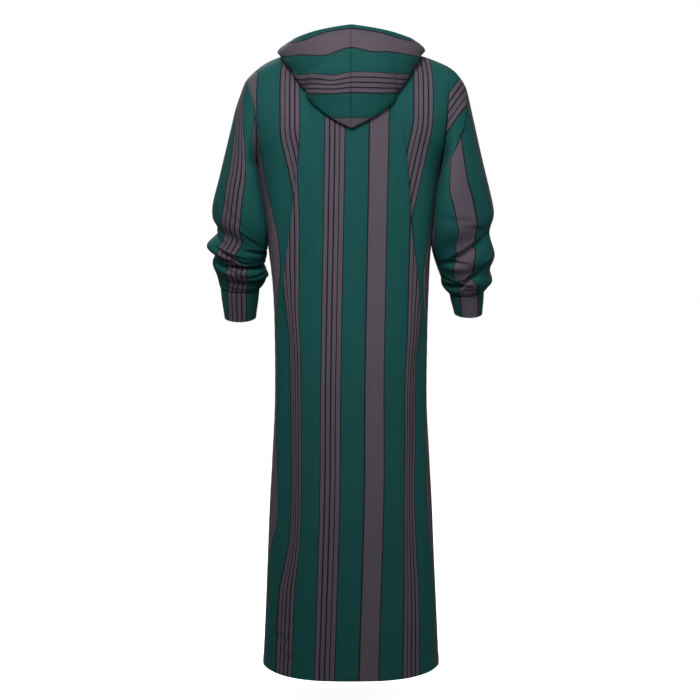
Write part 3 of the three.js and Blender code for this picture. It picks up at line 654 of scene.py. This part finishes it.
# Under the arms the panels' sides and the sleeves' inner sides lean together: reach, drop and span.
SIDE_REACH = ((2.0, 335, 62), (1.2, 288, 18), (0.8, 440, 30))
INNER_REACH = ((1.8, 340, 60), (3.2, 287, 20), (0.9, 440, 30))
SEAM_LINES = np.array([6, 3.6, 2, 0.8, 0])  # distances of the last lines of a grid from a seam
DENSE_LINES = 161  # places at which each row of the smooth panel is measured
INNER_LINES, OUTER_LINES = 25, 12  # lines of the grid before a fold and after it
FOLD_CLEAR = 8  # a fold ends at least this far before the side seam
HEM_LINES = np.array([0, 0.8, 2.5, 6, 10, 14, 17, 19, 20.2, 21, 21.8, 23, 25, 29])  # mm above the hem
SKIRT_ROWS, YOKE_ROWS, YOKE_HEIGHT = 170, 52, 250.0
SETTLE_ROUNDS, SETTLE_REACH, SETTLE_CLEAR = 60, 0.16, 4  # easing of the bend at the underarm's level
SKIRT_FADE = 420  # mm over which a wave of the skirt grows
PULL_FROM, PULL_SPAN = 55, 55  # where the stripes' pull begins, off the middle


def creases_at(creases, points):
    depth = np.zeros(points.shape[:-1])
    for x, drop, half, lean, deep, width in rows_of(creases):
        across, rise = points[..., 0] - x, points[..., 2] + drop
        turn = math.radians(lean)
        along = across * math.cos(turn) + rise * math.sin(turn)
        aside = -across * math.sin(turn) + rise * math.cos(turn)
        depth += deep * arch(along / half) * (bell(aside / width) - 0.45 * bell((aside - 1.9 * width) / (1.2 * width)))
    return depth


def skirt_lift(panel, points):
    lift = np.zeros(points.shape[:-1])
    for x, width, height, fade_in in rows_of(SKIRT_WAVES[panel]):
        fade = ease((-points[..., 2] - fade_in) / SKIRT_FADE) * (1 - 0.5 * ease((-points[..., 2] - 1200) / 200))
        lift += height * fade * bell((points[..., 0] - x) / width)
    return lift


def half_panel(panel, side, up):
    """One half of a panel from the middle to the side: smooth points, and how each lies in the fold."""
    folds, sign = BODY_FOLDS[f"{panel}_{side}"], SIDES[side]["sign"]
    dense = np.linspace(0, 1, DENSE_LINES)
    row_up, row_across = np.meshgrid(up, dense, indexing="ij")
    sample = smooth_panel_point(panel, side, row_across, row_up)
    run = run_along(sample, 1)
    across_rows, drops, slack_rows = [], [], []
    for points, walked in zip(sample, run):
        drop = np.clip(-points[:, 2], folds["at"][0], HEM_DROP)
        past = sign * points[:, 0] - through(folds, "x", drop)
        edge, end = np.interp(0, past, walked), walked[-1]
        shape = edge + FOLD_SHAPE["offset"]
        near, far = shape[0], min(shape[-1], end - FOLD_CLEAR)
        shape[shape > edge] = edge + (shape[shape > edge] - edge) * min(1, (far - edge) / FOLD_SHAPE["offset"][-1])
        inner = np.linspace(0, near, INNER_LINES + 1)[:-1]
        outer = np.linspace(far, end - SEAM_LINES[0], OUTER_LINES + 2)[1:-1]
        wanted = np.concatenate([inner, shape, outer, end - SEAM_LINES])
        across_rows.append(np.interp(wanted, walked, dense))
        drops.append(np.interp(edge, walked, drop))
        slack_rows.append(ease((wanted - edge - SLACK_FROM) / SLACK_SPAN))
    across, drops = np.array(across_rows), np.array(drops)[:, None]
    after = across.shape[1] - INNER_LINES - len(FOLD_SHAPE["offset"])
    back, sunk, hollow, crest = (
        np.pad(FOLD_SHAPE[name], (INNER_LINES, after)) for name in ("back", "sink", "hollow", "crest")
    )
    depth, hidden, soft = (through(folds, name, drops) for name in ("depth", "hidden", "soft"))
    lap = (1 - soft) * np.maximum(hidden - DEPTH_SHARE * depth, 0) / 2 * ease(depth / 5)
    sink = depth * mix(sunk - CREST_SHARE * crest, hollow, soft)
    return across, sink, lap * back, soft * hidden * np.array(slack_rows)


def leaning(reaches, z):
    """How far cloth leans out where body and sleeve meet below the underarm."""
    return sum(reach * bell((z + drop) / span) for reach, drop, span in reaches)


def settled(grid, up):
    """The grid with its bend at the underarm's level eased out, away from the side seams."""
    to_side = to_nearer(run_along(grid, 1))
    share = (bell((up - 1) / SETTLE_REACH)[:, None] * ease((to_side - SETTLE_CLEAR) / 40))[1:-1, :, None]
    for _ in range(SETTLE_ROUNDS):
        grid = grid.copy()
        grid[1:-1] += share * ((grid[:-2] + grid[2:]) / 2 - grid[1:-1]) * 0.9
    return grid


def panel_form(panel):
    """The outer face of a body panel, its normals and its cloth's own width and length."""
    facing = PANELS[panel]["sign"]
    hem = HEM_LINES / (HEM_DROP - UNDERARM_DROP)
    lower = np.linspace(0, 1, SKIRT_ROWS)
    lower = np.concatenate([hem, lower[lower > hem[-1] + 0.002]])
    upper = 1 + close_set(YOKE_ROWS, 0, YOKE_HEIGHT)[1:] / YOKE_HEIGHT
    up = np.concatenate([lower, upper])
    halves = []
    for side in ("right", "left"):
        across, sink, lap, slack = half_panel(panel, side, up)
        points = smooth_panel_point(panel, side, across, np.broadcast_to(up[:, None], across.shape))
        aside = np.abs(points[..., 0]) / np.abs(points[:, -1:, 0])
        points[..., 2] += HEM_RISE * aside**4 * ease(1 - up / HEM_RISE_REACH)[:, None]
        if side == "right":
            points, sink, lap, slack = points[:, :0:-1], sink[:, :0:-1], -lap[:, :0:-1], -slack[:, :0:-1]
        halves.append((points, sink, lap, slack))
    middle = halves[0][0].shape[1]
    grid, sink, lap, slack = (np.concatenate(pair, axis=1) for pair in zip(*halves))
    flip = facing > 0
    grid = settled(grid, up)
    normals = normals_of(grid, flip)
    level = unit(np.stack([np.abs(normals[..., 1]), -np.sign(normals[..., 1]) * normals[..., 0], 0 * sink], axis=-1))
    row_run, from_hem = run_along(grid, 1), run_along(grid, 0)
    to_side, to_top = to_nearer(row_run), to_edge(from_hem)
    raised = (skirt_lift(panel, grid) - creases_at(BODY_CREASES[panel], grid)) * ease(to_side / 30) - sink
    past_line = from_hem - HEM_TURNING
    raised += turned(past_line, height=0.55, groove=0.75, width=1.4)
    raised += puckers(0.28, from_hem / 5.5, to_side / 9)
    raised += puckers(0.22, row_run / 6.3, past_line / 7)
    raised -= SEAM_DIP * bell(to_side / SEAM_DIP_WIDTH) + SEAM_DIP * bell(to_top / SEAM_DIP_WIDTH)
    raised += leaning(SIDE_REACH, grid[..., 2]) * (1 - ease((to_side - 8) / 40))
    grid = grid + normals * raised[..., None] - level * lap[..., None]
    grid[..., 1] += facing * SEWN_GAP / 2
    normals = normals_of(grid, flip)
    width = level_run(grid, normals)
    width += slack - width[:, middle : middle + 1]
    width -= through(CLOTH_MIDDLE, "x", np.clip(-grid[..., 2], 0, 1410)) * facing
    out, drop = np.abs(grid[..., 0]), np.clip(-grid[..., 2], 0, HEM_DROP)
    for side, s in SIDES.items():
        rows = STRIPE_PULL[side]
        near, far, edge, span = (through(rows, name, drop) for name in ("near", "far", "edge", "span"))
        pull = near * ease((out - PULL_FROM) / PULL_SPAN) + (far - near) * ease((out - edge) / span + 1)
        width -= np.where(grid[..., 0] * s["sign"] > 0, s["sign"] * pull * PULL_SHARE[panel], 0)
    return grid, normals, width, from_hem, flip


# ---- sleeves and cuffs
SLEEVE_CREASES = tables(
    "ring turn span depth width slant",
    left=[
        (8.95, 72, 46, 10.5, 0.26, 0.006), (9.45, 96, 30, 8, 0.24, 0.014), (9.75, 62, 34, 7, 0.22, -0.012),
        (10.2, 108, 30, 4, 0.2, 0.01), (10.75, 60, 40, 6, 0.24, 0.012), (11.3, 130, 50, 2.6, 0.22, -0.008),
        (12.6, 70, 70, 1.8, 0.2, 0.004), (7.4, 110, 50, 2.4, 0.34, 0.016), (6.1, 78, 60, 1.8, 0.4, 0.02),
        (1.6, 60, 70, 2.0, 0.5, 0.012), (2.8, 118, 50, 3.0, 0.4, -0.014), (8.6, 230, 60, 2.4, 0.25, 0.01),
        (10.3, 300, 60, 2.4, 0.25, -0.008),
    ],
    right=[
        (8.95, 112, 40, 6, 0.26, -0.006), (9.3, 50, 40, 6.5, 0.26, 0.012), (10.8, 96, 26, 7, 0.32, 0.05),
        (10.6, 142, 46, 5.5, 0.3, -0.014), (11.6, 66, 40, 5, 0.26, 0.012), (12.6, 90, 70, 1.6, 0.2, -0.004),
        (7.3, 60, 50, 2.2, 0.34, -0.014), (6.0, 110, 60, 1.8, 0.4, -0.016), (8.6, 250, 60, 2.4, 0.25, -0.01),
        (10.4, 290, 60, 2.4, 0.25, 0.008),
    ],
)
STEEP_SIDE = 0.36  # width of a fold's upper side as a share of its lower side's
FOLD_RIDGE, CREASE_RIDGE = 0.1, 0.35  # height of the ridges beside them as a share of their depth
SEAM_ROWS = np.array([0, 0.02, 0.05, 0.09, 0.15])  # close rows below the armhole, in rings
END_ROWS = LAST_RING - np.array([0.3, 0.2, 0.13, 0.07, 0.03, 0])  # and above the cuff
# The grain line: where the middle of the stripe along the back of each sleeve runs, in degrees round it.
SLEEVE_GRAIN = tables(
    "at turn",
    left=[
        (0, 2), (0.7, 13), (1.4, 44), (2, 62), (3, 72), (4, 77), (5, 75), (6, 75), (8, 70), (10, 76),
        (10.4, 86), (11, 86), (12, 82), (13, 82),
    ],
    right=[
        (0, 84), (1, 84), (2, 90), (3, 96), (4.4, 98), (5.4, 91), (6.4, 87), (7.5, 84), (8.5, 88), (9, 96),
        (10.4, 95), (11, 90), (13, 86),
    ],
)
SLEEVE_PHASE = {"left": 118, "right": 21.5}  # where on the stripes' repeat the grain line lies
# Cloth of a band as a share of the surface that it covers, down a sleeve.
SLEEVE_SPREAD = tables(
    "at share",
    left=[(0, 0.72), (2, 0.64), (3, 0.68), (5, 0.82), (7, 0.9), (10, 0.95), (13, 1)],
    right=[(0, 0.8), (3, 0.8), (5, 0.85), (7, 0.9), (10, 0.95), (13, 1)],
)
INNER_FROM, INNER_SPREAD = 22, 0.76  # past the first, in mm from its grain line, the left sleeve has this share more
# The right sleeve's cap laps over the arm along a diagonal: the fold's edge by drop, how high and deep it
# stands, and the stripes above it, which cross the cap slantwise.
CAP_FOLD = table("at x", (60, 264), (120, 256), (188, 249), (224, 235.4), (273, 214.6), (300, 200))
CAP_LIFT, CAP_SINK = 4.0, 3.2
CAP_STRIPES = dict(slant=math.radians(34), start=244, band=193, spread=0.97)


def ring_values(side, at):
    return {name: through(SLEEVES[side], name, at) for name in SLEEVES[side] if name != "at"}


def ring_point(side, ring, turn):
    sign = SIDES[side]["sign"]
    outer = place(sign * ring["out_x"], ring["mid_y"] - ring["lead"], -ring["out_drop"])
    inner = place(sign * ring["in_x"], ring["mid_y"] + ring["lead"], -ring["in_drop"])
    lean = np.radians(ring["tilt"])
    depth = place(0, np.cos(lean), -np.sin(lean)) * ring["half"][..., None]
    middle, arm = (outer + inner) / 2, (outer - inner) / 2
    return middle + arm * np.cos(turn)[..., None] + depth * np.sin(turn)[..., None]


def cross_folds(folds, at, turn, ridge):
    depth = np.zeros(at.shape)
    for ring, middle, span, deep, width, slant in rows_of(folds):
        away = (np.degrees(turn) - middle + 540) % 360 - 180
        across = (at - ring - slant * away) / width
        across = np.where(across < 0, across / STEEP_SIDE, across)
        ridges = [ridge * bell((across + lip) / 1.1) for lip in (1.8, -1.8)]
        depth += deep * arch(away / span) * (bell(across) - ridges[0] - ridges[1])
    return depth


def tube_form(points_at, at, columns):
    """A round grid from the inner seam round to itself."""
    turn = np.linspace(math.pi, 3 * math.pi, columns + 1)
    at, turn = np.meshgrid(at, turn, indexing="ij")
    return at, turn, points_at(at, turn)


def from_grain(side, grid, turn, at):
    """Distance round a sleeve or cuff from its grain line."""
    width = run_along(grid, 1)
    grain = np.radians(through(SLEEVE_GRAIN[side], "turn", at))[:, 0] + 2 * math.pi
    start = np.array([np.interp(*row) for row in zip(grain, turn, width)])
    return (width - start[:, None]) * SIDES[side]["sign"]


def sleeve_form(side):
    sign = SIDES[side]["sign"]
    at = np.concatenate([SEAM_ROWS, np.linspace(0.22, 12.6, SLEEVE_ROWS), END_ROWS])

    def points_at(at, turn):
        ring = ring_values(side, at)
        points = ring_point(side, ring, turn)
        middle = (points + ring_point(side, ring, turn + math.pi)) / 2
        inward = unit(middle - points)
        depth = cross_folds(SLEEVE_FOLDS[side], at, turn, FOLD_RIDGE)
        depth += cross_folds(SLEEVE_CREASES[side], at, turn, CREASE_RIDGE)
        gathers = 0.9 * ease((at - 11.6) / 1.2) * (1 - ease((at - 12.9) / 0.1))
        gathers = gathers * np.sin(turn * 26 + 1.5 * np.sin(turn * 3))
        points = points + inward * (depth * (1 - ease((at - 12.6) / 0.4)) + gathers)[..., None]
        first = ring_values(side, np.zeros_like(at))
        cap_share = ease((2 - at) / 2)
        points = points + (armhole(side, turn) - ring_point(side, first, turn)) * cap_share[..., None]
        points[..., 0] += sign * SEAM_GAP
        return points

    at, turn, grid = tube_form(points_at, at, SLEEVE_COLUMNS)
    flip = side == "left"
    normals = normals_of(grid, flip, True)
    along = run_along(grid, 0)
    to_end = to_edge(along)
    raised = -0.9 * bell(along / 2.2) - 1.0 * bell(to_end / 2.0)
    raised += puckers(0.3, turn * 30, along / 9)
    raised += ease(-(np.cos(turn) + 0.45) / 0.4) * leaning(INNER_REACH, grid[..., 2])
    if side == "right":
        out, drop = grid[..., 0] * sign, -grid[..., 2]
        past = through(CAP_FOLD, "x", np.clip(drop, 60, 300)) - out
        fade = ease((drop - 95) / 40) * (1 - ease((drop - 255) / 35)) * ease(along / 12)
        lift, sink = CAP_LIFT * np.exp(-np.abs(past) / 12), CAP_SINK * np.exp(-np.abs(past) / 7)
        raised += fade * np.where(past > 0, lift, -sink)
    grid = grid + normals * raised[..., None]
    normals = normals_of(grid, flip, True)
    width = from_grain(side, grid, turn, at) * through(SLEEVE_SPREAD[side], "share", at)
    if side == "left":
        width = np.where(width > INNER_FROM, mix(INNER_FROM, width, INNER_SPREAD), width)
    else:
        slant, start, band, spread = CAP_STRIPES.values()
        aside = out * math.cos(slant) + drop * math.sin(slant)
        above = band - SLEEVE_PHASE[side] + (aside - start) * spread
        width = mix(width, above, ease(past / 1.6 + 0.5) * (drop < 300))
    return grid, normals, width, along, flip


# Distances of a cuff's rows from its upper end.
CUFF_LINES = np.array([0, 0.8, 2, 4, 7, 12, 18, 24, 30, 36, 42, 48, 53, 55.2, 56, 56.8, 58.5, 60.4, 61.4, 62])
CUFF_LENGTH = CUFF_LINES[-1]


def cuff_form(side):
    sign, end = SIDES[side]["sign"], CUFFS[side]
    start = ring_values(side, np.array(float(LAST_RING)))
    for drop in ("out_drop", "in_drop"):
        start[drop] = start[drop] + SEAM_GAP
    flip = side == "left"

    def points_at(t, turn):
        points = ring_point(side, {name: mix(start[name], end[name], t) for name in end}, turn)
        points[..., 0] += sign * SEAM_GAP
        return points

    t, turn, grid = tube_form(points_at, CUFF_LINES / CUFF_LENGTH, CUFF_COLUMNS)
    normals = normals_of(grid, flip, True)
    along = run_along(grid, 0)
    to_end = to_edge(along)
    raised = 0.5 * bell((t - 0.35) / 0.3) - 0.9 * bell(along / 1.6) - 0.5 * bell((to_end - CUFF_EDGE) / 1.2)
    raised += puckers(0.5, turn * 2 + 0.6, (t - 0.4) / 0.35) + puckers(0.18, turn * 24, (to_end - CUFF_EDGE) / 5)
    grid = grid + normals * raised[..., None]
    normals = normals_of(grid, flip, True)
    width = from_grain(side, grid, turn, np.full_like(t, LAST_RING))
    return grid, normals, width, along, flip


# ---- the hood
# Soft wrinkles of the laid hood: "round" is the place round the neck, "fall" mm below the rim,
# "reach" half the length round, "lean" mm of fall for each unit round.
HOOD_CREASES = tables(
    "round fall reach lean depth width",
    left=[
        (0.15, 88, 0.13, 150, 2.4, 8), (0.12, 122, 0.12, 130, 2.2, 8), (0.3, 84, 0.10, -60, 2.4, 7),
        (0.36, 52, 0.12, 40, 1.8, 7), (0.05, 176, 0.10, 90, 1.2, 9), (0.6, 40, 0.16, 20, 1.4, 8),
    ],
    right=[
        (0.14, 108, 0.12, 120, 1.6, 9), (0.3, 78, 0.12, 60, 1.8, 8), (0.22, 150, 0.12, 60, 1.4, 9),
        (0.4, 44, 0.10, 30, 1.6, 7), (0.62, 40, 0.16, -20, 1.4, 8),
    ],
)

# How far the soft roll of the hood's fold spreads past the solid's, as a share of the panel's width.
FOLD_ROLL = table("at wide", (0, 0), (0.1, 0.015), (0.2, 0.05), (0.3, 0.06), (0.4, 0.045), (0.5, 0.01), (1, 0))
# Where the hood's stripes dip: x, mm below the rim, how far, half width and half height.
HOOD_WAVES = {
    "left": [(62, 58, 14, 34, 22), (112, 12, 11, 32, 16), (40, 110, 5, 26, 30)],
    "right": [(47, 58, 6, 28, 22), (108, 12, 5, 30, 16), (40, 112, -2, 30, 30)],
}
HOOD_ROWS, HOOD_COLUMNS, HOOD_ROUND = 120, 84, 500.0  # the last is mm, for the spacing at the seam
HOOD_SEAM_DIP, HOOD_SEAM_WIDTH = 2.2, 1.9
NEXT_TO = 0.01  # step to a neighbouring point of a panel


def clear_point(panel, side, across, up, clearance):
    """A point just clear of the panel that the hood lies on."""
    point = smooth_panel_point(panel, side, across, 1 + up)
    lower = smooth_panel_point(panel, side, across, 1 + up - NEXT_TO)
    wider = smooth_panel_point(panel, side, min(across + NEXT_TO, 1), 1 + up)
    narrower = smooth_panel_point(panel, side, max(across - NEXT_TO, 0), 1 + up)
    outward = unit(np.cross(wider - narrower, point - lower))
    facing = np.sign(outward @ np.array([0, PANELS[panel]["sign"], 1]))
    return point + outward * (facing * clearance)


def hood_keys(side, at):
    """The points that the hood passes through at one place round the neck, from seam to rim."""
    s = SIDES[side]
    panel, across = ("back", NECK_SHARE * at / 0.5) if at <= 0.5 else ("front", NECK_SHARE * (1 - at) / 0.5)
    station = {name: float(through(HOOD, name, np.array(at))) for name in HOOD}
    seat = top_edge(panel, side, np.array(across))
    angle = across / NECK_SHARE * math.pi / 2
    outward = np.array([s["sign"] * math.sin(angle), PANELS[panel]["sign"] * math.cos(angle), 0])
    fold_across = station["fold_across"] * s["hood_spread"] + float(through(FOLD_ROLL, "wide", np.array(at)))
    fold_up = min(station["fold_up"], 1)

    def under(share, clearance):
        return clear_point(panel, side, mix(across, fold_across, share), mix(1, fold_up, share), clearance)

    rim = np.array([s["sign"] * s["hood_spread"] * station["rim_x"], station["rim_y"], station["rim_z"]])
    fold = under(1, HOOD_CLEARANCE + 4)
    swells = ((0.3, 1), (0.68, 0.9))  # shares of the way to the rim, and of the full swell there
    stretch = [mix(fold, rim, share) + outward * (swell * station["swell"]) for share, swell in swells]
    stand = [
        seat + outward * reach + np.array([0, 0, height])
        for height, reach in ((2 * SEAM_GAP, 0), (STAND_HEIGHT, 0.5), (STAND_HEIGHT + 2, ROLL_REACH))
    ]
    return np.array(stand + [under(0.35, HOOD_CLEARANCE + 3), under(0.72, HOOD_CLEARANCE), fold] + stretch + [rim])


def hood_form(side):
    sign = SIDES[side]["sign"]
    at = 1 - close_set(HOOD_COLUMNS, 0, HOOD_ROUND)[::-1] / HOOD_ROUND
    rows = np.concatenate([np.linspace(0, 7.9, HOOD_ROWS), [7.94, 7.97, 7.99, 8]])
    columns = []
    for place_at in at:
        keys = hood_keys(side, place_at)
        curve = dict(at=np.arange(len(keys), dtype=float), x=keys[:, 0], y=keys[:, 1], z=keys[:, 2])
        columns.append(place(*(through(curve, axis, rows) for axis in "xyz")))
    grid = np.stack(columns, axis=1)
    least = np.where(at > 0.5, THROAT_GAP / 2, 0)
    grid[..., 0] = sign * np.where(at == 0, 0, np.maximum(np.abs(grid[..., 0]), least))
    flip = side == "left"
    normals = normals_of(grid, flip)
    normals[:, 0, 0] = 0
    fall = run_along(grid[::-1], 0)[::-1]
    round_at = np.broadcast_to(at, fall.shape)
    raised = np.zeros(fall.shape)
    for where, down, reach, lean, depth, width in rows_of(HOOD_CREASES[side]):
        aside = (fall - down - lean * (round_at - where)) / width
        raised -= depth * arch((round_at - where) / reach) * (bell(aside) - 0.5 * bell((aside - 1.9) / 1.2))
    from_seam = run_along(grid, 1)
    past_line = fall - RIM_TURNING
    raised += turned(past_line, height=0.5, groove=0.7, width=1.6)
    raised -= HOOD_SEAM_DIP * bell(from_seam / HOOD_SEAM_WIDTH)
    raised += puckers(0.25, fall / 5, from_seam / 8) + puckers(0.2, from_seam / 6, past_line / 6)
    grid = grid + unit(normals) * raised[..., None]
    normals = normals_of(grid, flip)
    normals[:, 0, 0] = 0
    out = grid[..., 0] * sign
    stripes = fall + 7 * np.square(np.clip(out, 0, 140) / 100) * ease((fall - 40) / 50)
    for x, down, shift, width, height in HOOD_WAVES[side]:
        stripes -= shift * bell((out - x) / width) * bell((fall - down) / height)
    return grid, unit(normals), stripes, from_seam, flip, fall


# ---- stitches
def stitch_tree(material):
    """Short stitches set end to end along a line."""
    tree = bpy.data.node_groups.new("stitch_row", "GeometryNodeTree")
    tree.interface.new_socket("Line", in_out="INPUT", socket_type="NodeSocketGeometry")
    for name, size in (("Pitch", STITCH_PITCH), ("Stitch Length", STITCH_LENGTH), ("Thread", THREAD_WIDTH)):
        tree.interface.new_socket(name, in_out="INPUT", socket_type="NodeSocketFloat").default_value = size * MM
    tree.interface.new_socket("Stitches", in_out="OUTPUT", socket_type="NodeSocketGeometry")
    nodes, links = tree.nodes, tree.links

    def add(kind, settings=None, **inputs):
        node = nodes.new(kind)
        for name, value in (settings or {}).items():
            setattr(node, name, value)
        for name, value in inputs.items():
            socket = node.inputs[name.replace("_", " ")]
            if isinstance(value, bpy.types.NodeSocket):
                links.new(value, socket)
            else:
                socket.default_value = value
        return node

    given = nodes.new("NodeGroupInput").outputs
    curve = add("GeometryNodeMeshToCurve", Mesh=given["Line"])
    steps = add("GeometryNodeResampleCurve", {"mode": "LENGTH"}, Curve=curve.outputs[0], Length=given["Pitch"])
    tangent = add("GeometryNodeInputTangent")
    turn = add("FunctionNodeAlignRotationToVector", {"axis": "Z"}, Vector=tangent.outputs[0])
    scale = add("ShaderNodeCombineXYZ", X=given["Thread"], Y=given["Thread"], Z=given["Stitch Length"])
    bead = add("GeometryNodeMeshIcoSphere", Radius=0.5, Subdivisions=2)
    row = add(
        "GeometryNodeInstanceOnPoints",
        Points=steps.outputs[0],
        Instance=bead.outputs[0],
        Rotation=turn.outputs[0],
        Scale=scale.outputs[0],
    )
    real = add("GeometryNodeRealizeInstances", Geometry=row.outputs[0])
    dressed = add("GeometryNodeSetMaterial", Geometry=real.outputs[0], Material=material)
    out = nodes.new("NodeGroupOutput")
    links.new(dressed.outputs[0], out.inputs["Stitches"])
    return tree


def stitch_row(name, lines, tree, material):
    """A plain mesh of stitches along lines of points, in mm."""
    verts, edges = [], []
    for line in lines:
        start = len(verts)
        verts.extend((line * MM).tolist())
        edges.extend((start + k, start + k + 1) for k in range(len(line) - 1))
    mesh = bpy.data.meshes.new(name + "_line")
    mesh.from_pydata(verts, edges, [])
    guide = linked(name + "_line", mesh)
    modifier = guide.modifiers.new("stitches", "NODES")
    modifier.node_group = tree
    sockets = {item.name: item.identifier for item in tree.interface.items_tree if item.item_type == "SOCKET"}
    modifier[sockets["Pitch"]] = STITCH_PITCH * MM
    depsgraph = bpy.context.evaluated_depsgraph_get()
    made = bpy.data.meshes.new_from_object(guide.evaluated_get(depsgraph))
    guide.modifiers.clear()
    bpy.data.objects.remove(guide)
    made.name = name
    made.materials.clear()
    made.materials.append(material)
    made.polygons.foreach_set("use_smooth", np.ones(len(made.polygons), bool))
    return linked(name, made)


def at_distance(form, distances, wanted):
    """The line across a grid where a distance that grows down its columns reaches a value."""
    grid, normals = form[:2]
    line = []
    for c in range(grid.shape[1]):
        run = distances[:, c]
        order = np.argsort(run)
        raised = grid[order, c] + STITCH_LIFT * normals[order, c]
        line.append([np.interp(wanted, run[order], raised[:, k]) for k in range(3)])
    return np.array(line)


# ---- making the pieces
BACK_PHASE, FRONT_PHASE = 69.5, 21.5
CLOTH_FINISHES = {
    "back": cloth_finish("striped_cloth_back", BODY_ORDER, BACK_PHASE),
    "front": cloth_finish("striped_cloth_front", BODY_ORDER, FRONT_PHASE),
    "sleeve_left": cloth_finish("striped_cloth_left_sleeve", BODY_ORDER, SLEEVE_PHASE["left"]),
    "sleeve_right": cloth_finish("striped_cloth_right_sleeve", BODY_ORDER, SLEEVE_PHASE["right"]),
    "hood": cloth_finish("striped_cloth_hood", HOOD_ORDER, 0),
}
THREAD = thread_finish()
STITCHES = stitch_tree(THREAD)
FORMS = {"back": panel_form("back"), "front": panel_form("front")}
for side in SIDES:
    FORMS[f"sleeve_{side}"] = sleeve_form(side)
    FORMS[f"cuff_{side}"] = cuff_form(side)
    FORMS[f"hood_{side}"] = hood_form(side)
FINISH_OF = {"cuff_left": "sleeve_left", "cuff_right": "sleeve_right", "hood_left": "hood", "hood_right": "hood"}


def stitch_lines(node):
    form = FORMS[node]
    along = form[3]
    if node in PANELS:
        return [at_distance(form, along, HEM_TURNING - STITCH_INSET)]
    if node.startswith("cuff"):
        return [at_distance(form, along, CUFF_TOP), at_distance(form, to_edge(along), CUFF_EDGE)]
    if node.startswith("hood"):
        return [at_distance(form, form[5], RIM_TURNING - STITCH_INSET)]
    return []


def make_piece(node):
    grid, normals, width, length, flip = FORMS[node][:5]
    round_grid = node.startswith(("sleeve", "cuff"))
    piece = cloth_shell(f"{node}_cloth", grid, normals, width, length, round_grid, flip)
    piece.data.materials.append(CLOTH_FINISHES[FINISH_OF.get(node, node)])
    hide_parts(node)
    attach(piece, "root")
    lines = stitch_lines(node)
    extras = []
    if lines:
        row = stitch_row(f"{node}_stitches", lines, STITCHES, THREAD)
        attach(row, "root")
        extras.append(row)
    return piece, extras


# Each piece's cut: width, length and flat area in metres, how it is held and the pieces that carry it. The
# two panels hang from the wearer's shoulders.
BOTH_PANELS = ["back_cloth", "front_cloth"]
CUTS = {
    "back": ((0.66, 1.42), 0.80, "hung", []),
    "front": ((0.66, 1.42), 0.80, "hung", []),
    "sleeve_left": ((0.42, 0.5), 0.16, "gathered", BOTH_PANELS),
    "sleeve_right": ((0.42, 0.52), 0.175, "gathered", BOTH_PANELS),
    "cuff_left": ((0.25, 0.066), 0.0165, "stretched", ["sleeve_left_cloth"]),
    "cuff_right": ((0.235, 0.052), 0.0122, "stretched", ["sleeve_right_cloth"]),
    "hood_left": ((0.4, 0.29), 0.083, "laid", BOTH_PANELS),
    "hood_right": ((0.4, 0.29), 0.083, "laid", BOTH_PANELS),
}
made = {node: make_piece(node) for node in CUTS}
for node, (flat, area, held, rests) in CUTS.items():
    piece, extras = made[node]
    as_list(extras)

# ---- floor, light and camera
FLOOR_DROP, FLOOR_RADIUS = 1.46, 7  # metres
bpy.ops.mesh.primitive_circle_add(vertices=96, radius=FLOOR_RADIUS, fill_type="NGON", location=(0, 0, -FLOOR_DROP))
floor = bpy.context.object
floor.name = "studio_floor"
floor.data.materials.append(floor_finish())
floor.visible_diffuse = floor.visible_glossy = False


def soft_light(name, place_at, aim, size, watts, spread=180):
    light = bpy.data.lights.new(name, "AREA")
    light.shape, light.size, light.energy, light.spread = "SQUARE", size, watts, math.radians(spread)
    lamp = linked(name, light)
    lamp.location = place_at
    direction = [a - b for a, b in zip(aim, place_at)]
    lamp.rotation_euler = Vector(direction).to_track_quat("-Z", "Y").to_euler()


soft_light("key_light", (0.25, 1.85, 0.85), aim=(0, 0, -0.28), size=0.8, watts=6.3, spread=62)
soft_light("fill_light", (-1.8, 2.6, 0.2), aim=(0, 0, -0.6), size=1.8, watts=12)
soft_light("front_light", (0.5, -1.7, 1.2), aim=(0, 0, -0.45), size=1.2, watts=45)

# The room is white to look at and dimmer as light, more so from below, so that the folds keep their shade.
LIGHT_BELOW, LIGHT_ABOVE = 0.1, 0.5
world = bpy.data.worlds.new("studio")
world.use_nodes = True
room = world.node_tree
seen = room.nodes.new("ShaderNodeLightPath")
facing = room.nodes.new("ShaderNodeTexCoord")
height = room.nodes.new("ShaderNodeSeparateXYZ")
soft = room.nodes.new("ShaderNodeMapRange")
for socket, number in zip(("From Min", "From Max", "To Min", "To Max"), (-1, 1, LIGHT_BELOW, LIGHT_ABOVE)):
    soft.inputs[socket].default_value = number
room.links.new(facing.outputs["Generated"], height.inputs[0])
room.links.new(height.outputs["Z"], soft.inputs["Value"])
strength = room.nodes.new("ShaderNodeMapRange")
strength.inputs["To Max"].default_value = 1.0
room.links.new(soft.outputs[0], strength.inputs["To Min"])
room.links.new(seen.outputs["Is Camera Ray"], strength.inputs["Value"])
room.links.new(strength.outputs[0], room.nodes["Background"].inputs["Strength"])
room.nodes["Background"].inputs["Color"].default_value = (1, 1, 1, 1)
bpy.context.scene.world = world
bpy.context.scene.view_settings.view_transform = "Standard"

CAMERA_DISTANCE, CAMERA_SIDE, CAMERA_HEIGHT = 3.4, 0.00225, -0.684  # metres
LENS, SENSOR = 77.7, 36  # mm
lens = bpy.data.cameras.new("camera")
lens.lens, lens.sensor_width = LENS, SENSOR
camera = linked("camera", lens)
camera.location = (CAMERA_SIDE, CAMERA_DISTANCE, CAMERA_HEIGHT)
camera.rotation_euler = (math.radians(90), 0, math.radians(180))
bpy.context.scene.camera = camera
